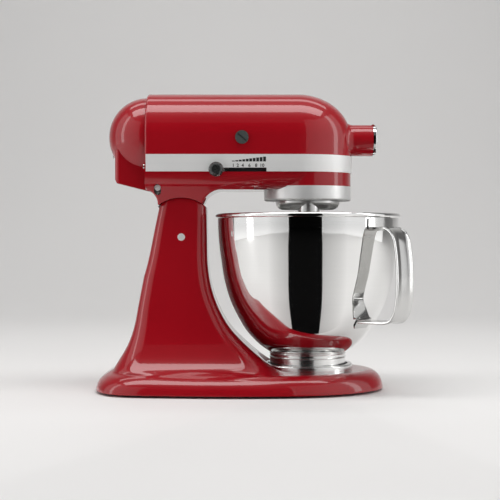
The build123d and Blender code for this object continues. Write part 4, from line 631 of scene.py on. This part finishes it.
# Tabs that hold the strap to the bowl's wall
TAB_ROWS, TAB_COLUMNS = 9, 13
TAB_LIFT, TAB_THICK = 0.05, 1.6
TAB_CORNER, TAB_END_SHARE = 2.0, 0.82


def wall_tab(name, low, high, half):
    """Plate that lies on the bowl's wall, from a low to a high level."""
    points = []
    for height in np.linspace(low, high, TAB_ROWS):
        reach = np.interp(height, wall[:, 1], wall[:, 0])
        from_end = min(height - low, high - height) / TAB_CORNER
        shy = min(1.0, TAB_END_SHARE + (1 - TAB_END_SHARE) * from_end)
        for lift in (TAB_LIFT, TAB_THICK):
            for across in np.linspace(-half, half, TAB_COLUMNS):
                turn = across * shy / reach
                out = reach + lift
                points.append(radial(out * math.cos(turn), out * math.sin(turn), height))

    def corner(row, side, column):
        return (row * 2 + side) * TAB_COLUMNS + column

    faces = []
    for row in range(TAB_ROWS - 1):
        for side in range(2):
            for column in range(TAB_COLUMNS - 1):
                first, above = corner(row, side, column), corner(row + 1, side, column)
                faces.append((first, first + 1, above + 1, above))
        for column in (0, TAB_COLUMNS - 1):
            first, above = corner(row, 0, column), corner(row + 1, 0, column)
            faces.append((first, first + TAB_COLUMNS, above + TAB_COLUMNS, above))
    for row in (0, TAB_ROWS - 1):
        for column in range(TAB_COLUMNS - 1):
            first = corner(row, 0, column)
            faces.append((first, first + 1, first + 1 + TAB_COLUMNS, first + TAB_COLUMNS))
    piece(name, points, faces, "bowl", "handle_steel", 40)


wall_tab("handle_top_tab", 188.0, 203.4, 23.0)
wall_tab("handle_low_tab", 76.0, 88.0, 13.0)

# Speed scale on the near side of the band: bars that grow, and plain numbers under them
BAND_FACE = -53.4
FIRST_BAR = (-19.2, BAND_FACE, 268.4)
BAR_SIZES = {
    "Bars": 10, "Pitch": 4.0 * MM, "Width": 3.3 * MM, "First height": 1.0 * MM, "Last height": 5.6 * MM,
    "Ink depth": 0.08 * MM,
}
NUMBERS = [("1", -19.3), ("2", -14.2), ("4", -8.4), ("6", -0.7), ("8", 7.1), ("10", 13.9)]
NUMBER_LEVEL, NUMBER_SIZE, NUMBER_WEIGHT, NUMBER_INK = 262.2, 5.3, 0.13, 0.04


def scale_tree(ink):
    """Geometry tree: a row of upright bars, each a little taller than the one before."""
    growth = Growth("growing bars", {
        "Bars": "Int", "Pitch": "Float", "Width": "Float", "First height": "Float", "Last height": "Float",
        "Ink depth": "Float",
    })
    given = growth.given
    step = growth.add("ShaderNodeCombineXYZ", None, {"X": given["Pitch"]})
    row = growth.add("GeometryNodeMeshLine", {"mode": "OFFSET"}, {"Count": given["Bars"], "Offset": step})
    number = growth.add("GeometryNodeInputIndex")
    last = growth.add("ShaderNodeMath", {"operation": "SUBTRACT"}, {0: given["Bars"], 1: 1.0})
    share = growth.add("ShaderNodeMath", {"operation": "DIVIDE"}, {0: number, 1: last})
    heights = {0: share, 2: given["First height"], 3: given["Last height"]}
    height = growth.add("ShaderNodeMix", {"data_type": "FLOAT"}, heights)
    bar = growth.add("GeometryNodeMeshCube", None, {"Size": (1.0, 1.0, 1.0)})
    lifted = growth.add("GeometryNodeTransform", None, {"Geometry": bar, "Translation": (0.0, 0.0, 0.5)})
    sides = {"X": given["Width"], "Y": given["Ink depth"], "Z": height}
    size = growth.add("ShaderNodeCombineXYZ", None, sides)
    placed = {"Points": row, "Instance": lifted, "Scale": size}
    growth.close(growth.add("GeometryNodeInstanceOnPoints", None, placed), ink)
    return growth


bars = scale_tree(finishes["ink"]).mesh("speed_scale_bars", BAR_SIZES)
bars.transform(Matrix.Translation(Vector(FIRST_BAR) * MM))
keep(bars, "speed_scale_bars", "head")


def speed_number(digits, across):
    """Plain number printed on the band."""
    line = bpy.data.curves.new("number " + digits, "FONT")
    line.body = digits
    line.size = NUMBER_SIZE * MM
    line.offset = NUMBER_WEIGHT * MM
    line.align_x = "CENTER"
    line.extrude = NUMBER_INK * MM
    host = bpy.data.objects.new("number " + digits, line)
    bpy.context.scene.collection.objects.link(host)
    bpy.context.view_layer.update()
    mesh = bpy.data.meshes.new_from_object(host.evaluated_get(bpy.context.evaluated_depsgraph_get()))
    bpy.data.objects.remove(host)
    mesh.materials.clear()
    mesh.materials.append(finishes["ink"])
    mesh.transform(Matrix.Rotation(math.pi / 2, 4, "X"))
    mesh.transform(Matrix.Translation(Vector((across, BAND_FACE, NUMBER_LEVEL)) * MM))
    keep(mesh, "speed_number_" + digits, "head")


for digits, across in NUMBERS:
    speed_number(digits, across)

# Stage: floor that sweeps up behind
SWEEP_BACK, SWEEP_R, SWEEP_TOP, STAGE_HALF = 2.6, 1.4, 4.2, 9.0


def stage_sheet(name, points, faces, finish):
    """Flat or bent sheet that belongs to the stage."""
    mesh = bpy.data.meshes.new(name)
    mesh.from_pydata(points, [], faces)
    mesh.materials.append(finish)
    made = bpy.data.objects.new(name, mesh)
    bpy.context.scene.collection.objects.link(made)
    return made


def strip_faces(rows):
    """Quads along a strip of point pairs."""
    return [(2 * row, 2 * row + 1, 2 * row + 3, 2 * row + 2) for row in range(rows - 1)]


def pale_floor():
    """Matt floor, a little uneven in tone."""
    pale = Finish("pale floor")
    speck = pale.noise(pale.place, scale=3.0)
    pale.set(Base_Color=pale.blend(speck, (0.77, 0.76, 0.75), (0.79, 0.78, 0.77)))
    pale.set(Roughness=0.6 + speck * 0.1)
    side_line = [(-STAGE_HALF, 0.0)]
    for turn in np.linspace(0, math.pi / 2, 25):
        side_line.append((SWEEP_BACK - SWEEP_R + SWEEP_R * math.sin(turn), SWEEP_R * (1 - math.cos(turn))))
    side_line.append((SWEEP_BACK, SWEEP_TOP))
    points = [(x, y, z) for y, z in side_line for x in (-STAGE_HALF, STAGE_HALF)]
    stage_sheet("floor", points, strip_faces(len(side_line)), pale.material).data.shade_smooth()


pale_floor()

world = bpy.data.worlds.new("studio")
world.use_nodes = True
world.node_tree.nodes["Background"].inputs["Color"].default_value = (0.85, 0.85, 0.86, 1)
world.node_tree.nodes["Background"].inputs["Strength"].default_value = 0.16
bpy.context.scene.world = world

# Lamps: place, the point each faces, width, height and the brightness of its face
WALL_HEIGHT = 2.1
WALL_GLOW, STRIP_GLOW = 0.72, 2.6


def softbox(name, place, target, width, height, glow):
    """Area lamp that faces a point, with the brightness its face should have."""
    lamp = bpy.data.lights.new(name, "AREA")
    lamp.shape = "RECTANGLE"
    lamp.size = width
    lamp.size_y = height
    lamp.energy = glow * math.pi * width * height
    made = bpy.data.objects.new(name, lamp)
    made.location = place
    made.rotation_euler = (Vector(target) - Vector(place)).to_track_quat("-Z", "Y").to_euler()
    made.visible_camera = False
    bpy.context.scene.collection.objects.link(made)


def side_wall(name, corners, glow):
    """Tall soft lamps that stand edge to edge along a line of plan points."""
    for index, (start, end) in enumerate(zip(corners, corners[1:])):
        middle = (Vector(start) + Vector(end)) / 2
        along = Vector(end) - Vector(start)
        facing = Vector((-along.y, along.x))
        if facing.dot(middle) > 0:
            facing = -facing
        place = (middle.x, middle.y, WALL_HEIGHT / 2)
        target = (middle.x + facing.x, middle.y + facing.y, WALL_HEIGHT / 2)
        softbox(f"{name} {index + 1}", place, target, along.length, WALL_HEIGHT, glow)


softbox("overhead", (0.0, -0.35, 1.9), (0, 0, 0.2), 2.4, 0.7, 5.0)
side_wall("left wall", [(-0.843, -1.90), (-1.45, -1.35), (-1.75, -0.40), (-1.75, 0.50)], WALL_GLOW)
side_wall("right wall", [(0.574, -1.90), (1.40, -1.50), (1.80, -0.50), (1.80, 0.40)], WALL_GLOW)
side_wall("left strip", [(-1.585, -0.52), (-1.645, -0.26)], STRIP_GLOW)
side_wall("right strip", [(1.62, -0.50), (1.68, -0.18)], STRIP_GLOW)
softbox("back wash", (0.0, 1.2, 3.2), (0.0, 2.4, 0.6), 4.0, 0.8, 2.4)

# Dark panel towards the camera that only reflections see: a wedge on the floor and a board above its end.
# Half-clear flaps on both sides of it fade outwards. Sides are given in metres for each metre of depth.
PANEL_MID, PANEL_NEAR, PANEL_LEVEL, PANEL_TOP = BOWL_X * MM, -0.09, 0.002, 2.6
DARK_FAR, DARK_LEFT, DARK_RIGHT = -3.2, -0.48, 0.266
FLAP_FAR, FLAP_REACH, FLAP_DENSITY = -0.9, 1.15, 0.36
DARK_MID, DARK_HALF = (DARK_RIGHT + DARK_LEFT) / 2, (DARK_RIGHT - DARK_LEFT) / 2


def reflected_sheets(name, sides, far, finish):
    """Sheets, each between two sides, that spread with depth and end in an upright board."""
    points, faces = [], []
    for pair in sides:
        first = len(points)
        for depth, height in ((PANEL_NEAR, PANEL_LEVEL), (far, PANEL_LEVEL), (far, PANEL_TOP)):
            points += [(PANEL_MID - depth * side, depth, height) for side in pair]
        faces += [tuple(first + corner for corner in face) for face in strip_faces(3)]
    made = stage_sheet(name, points, faces, finish)
    made.visible_camera = False
    made.visible_diffuse = False
    made.visible_shadow = False
    made.visible_transmission = False


def dark_cloth():
    """Near black, with no shine."""
    made = Finish("dark panel")
    weave = made.noise(made.place, scale=60.0)
    made.set(Base_Color=made.blend(weave, (0.003, 0.003, 0.003), (0.005, 0.005, 0.005)))
    return made.set(Roughness=0.8 + weave * 0.1, Specular_IOR_Level=0.0).material


def fading_cloth():
    """Half-clear black that fades with its distance from the dark panel."""
    made = Finish("fading flap")
    across = made.add("ShaderNodeSeparateXYZ", None, {"Vector": made.place}, out="X") - PANEL_MID
    away = made.add("ShaderNodeSeparateXYZ", None, {"Vector": made.place}, out="Y") * -1.0
    aside = made.add("ShaderNodeMath", {"operation": "ABSOLUTE"}, {0: across / away - DARK_MID})
    limits = {"From Min": DARK_HALF, "From Max": FLAP_REACH, "To Min": FLAP_DENSITY, "To Max": 0.0}
    density = made.add("ShaderNodeMapRange", None, {"Value": aside, **limits})
    made.set(Base_Color=(0.004, 0.004, 0.004, 1.0), Roughness=0.9, Specular_IOR_Level=0.0, Alpha=density)
    return made.material


left_flap, right_flap = (DARK_LEFT, DARK_MID - FLAP_REACH), (DARK_RIGHT, DARK_MID + FLAP_REACH)
reflected_sheets("dark panel", [(DARK_LEFT, DARK_RIGHT)], DARK_FAR, dark_cloth())
reflected_sheets("fading flaps", [left_flap, right_flap], FLAP_FAR, fading_cloth())

# Camera: level, from the near side, at a scale of 1.2 mm for each pixel of a picture 500 pixels wide
EYE_REACH, EYE_LEVEL = 1.40, 0.1812
PIXEL, PICTURE, SENSOR = 1.2 * MM, 500.0, 36.0
camera = bpy.data.cameras.new("camera")
camera.sensor_width = SENSOR
camera.lens = SENSOR * EYE_REACH / PIXEL / PICTURE
camera.shift_y = -0.026
camera.clip_end = 30
view = bpy.data.objects.new("camera", camera)
view.location = (0.0, -EYE_REACH, EYE_LEVEL)
view.rotation_euler = (math.pi / 2, 0, 0)
bpy.context.scene.collection.objects.link(view)
bpy.context.scene.camera = view
bpy.context.scene.view_settings.view_transform = "Standard"
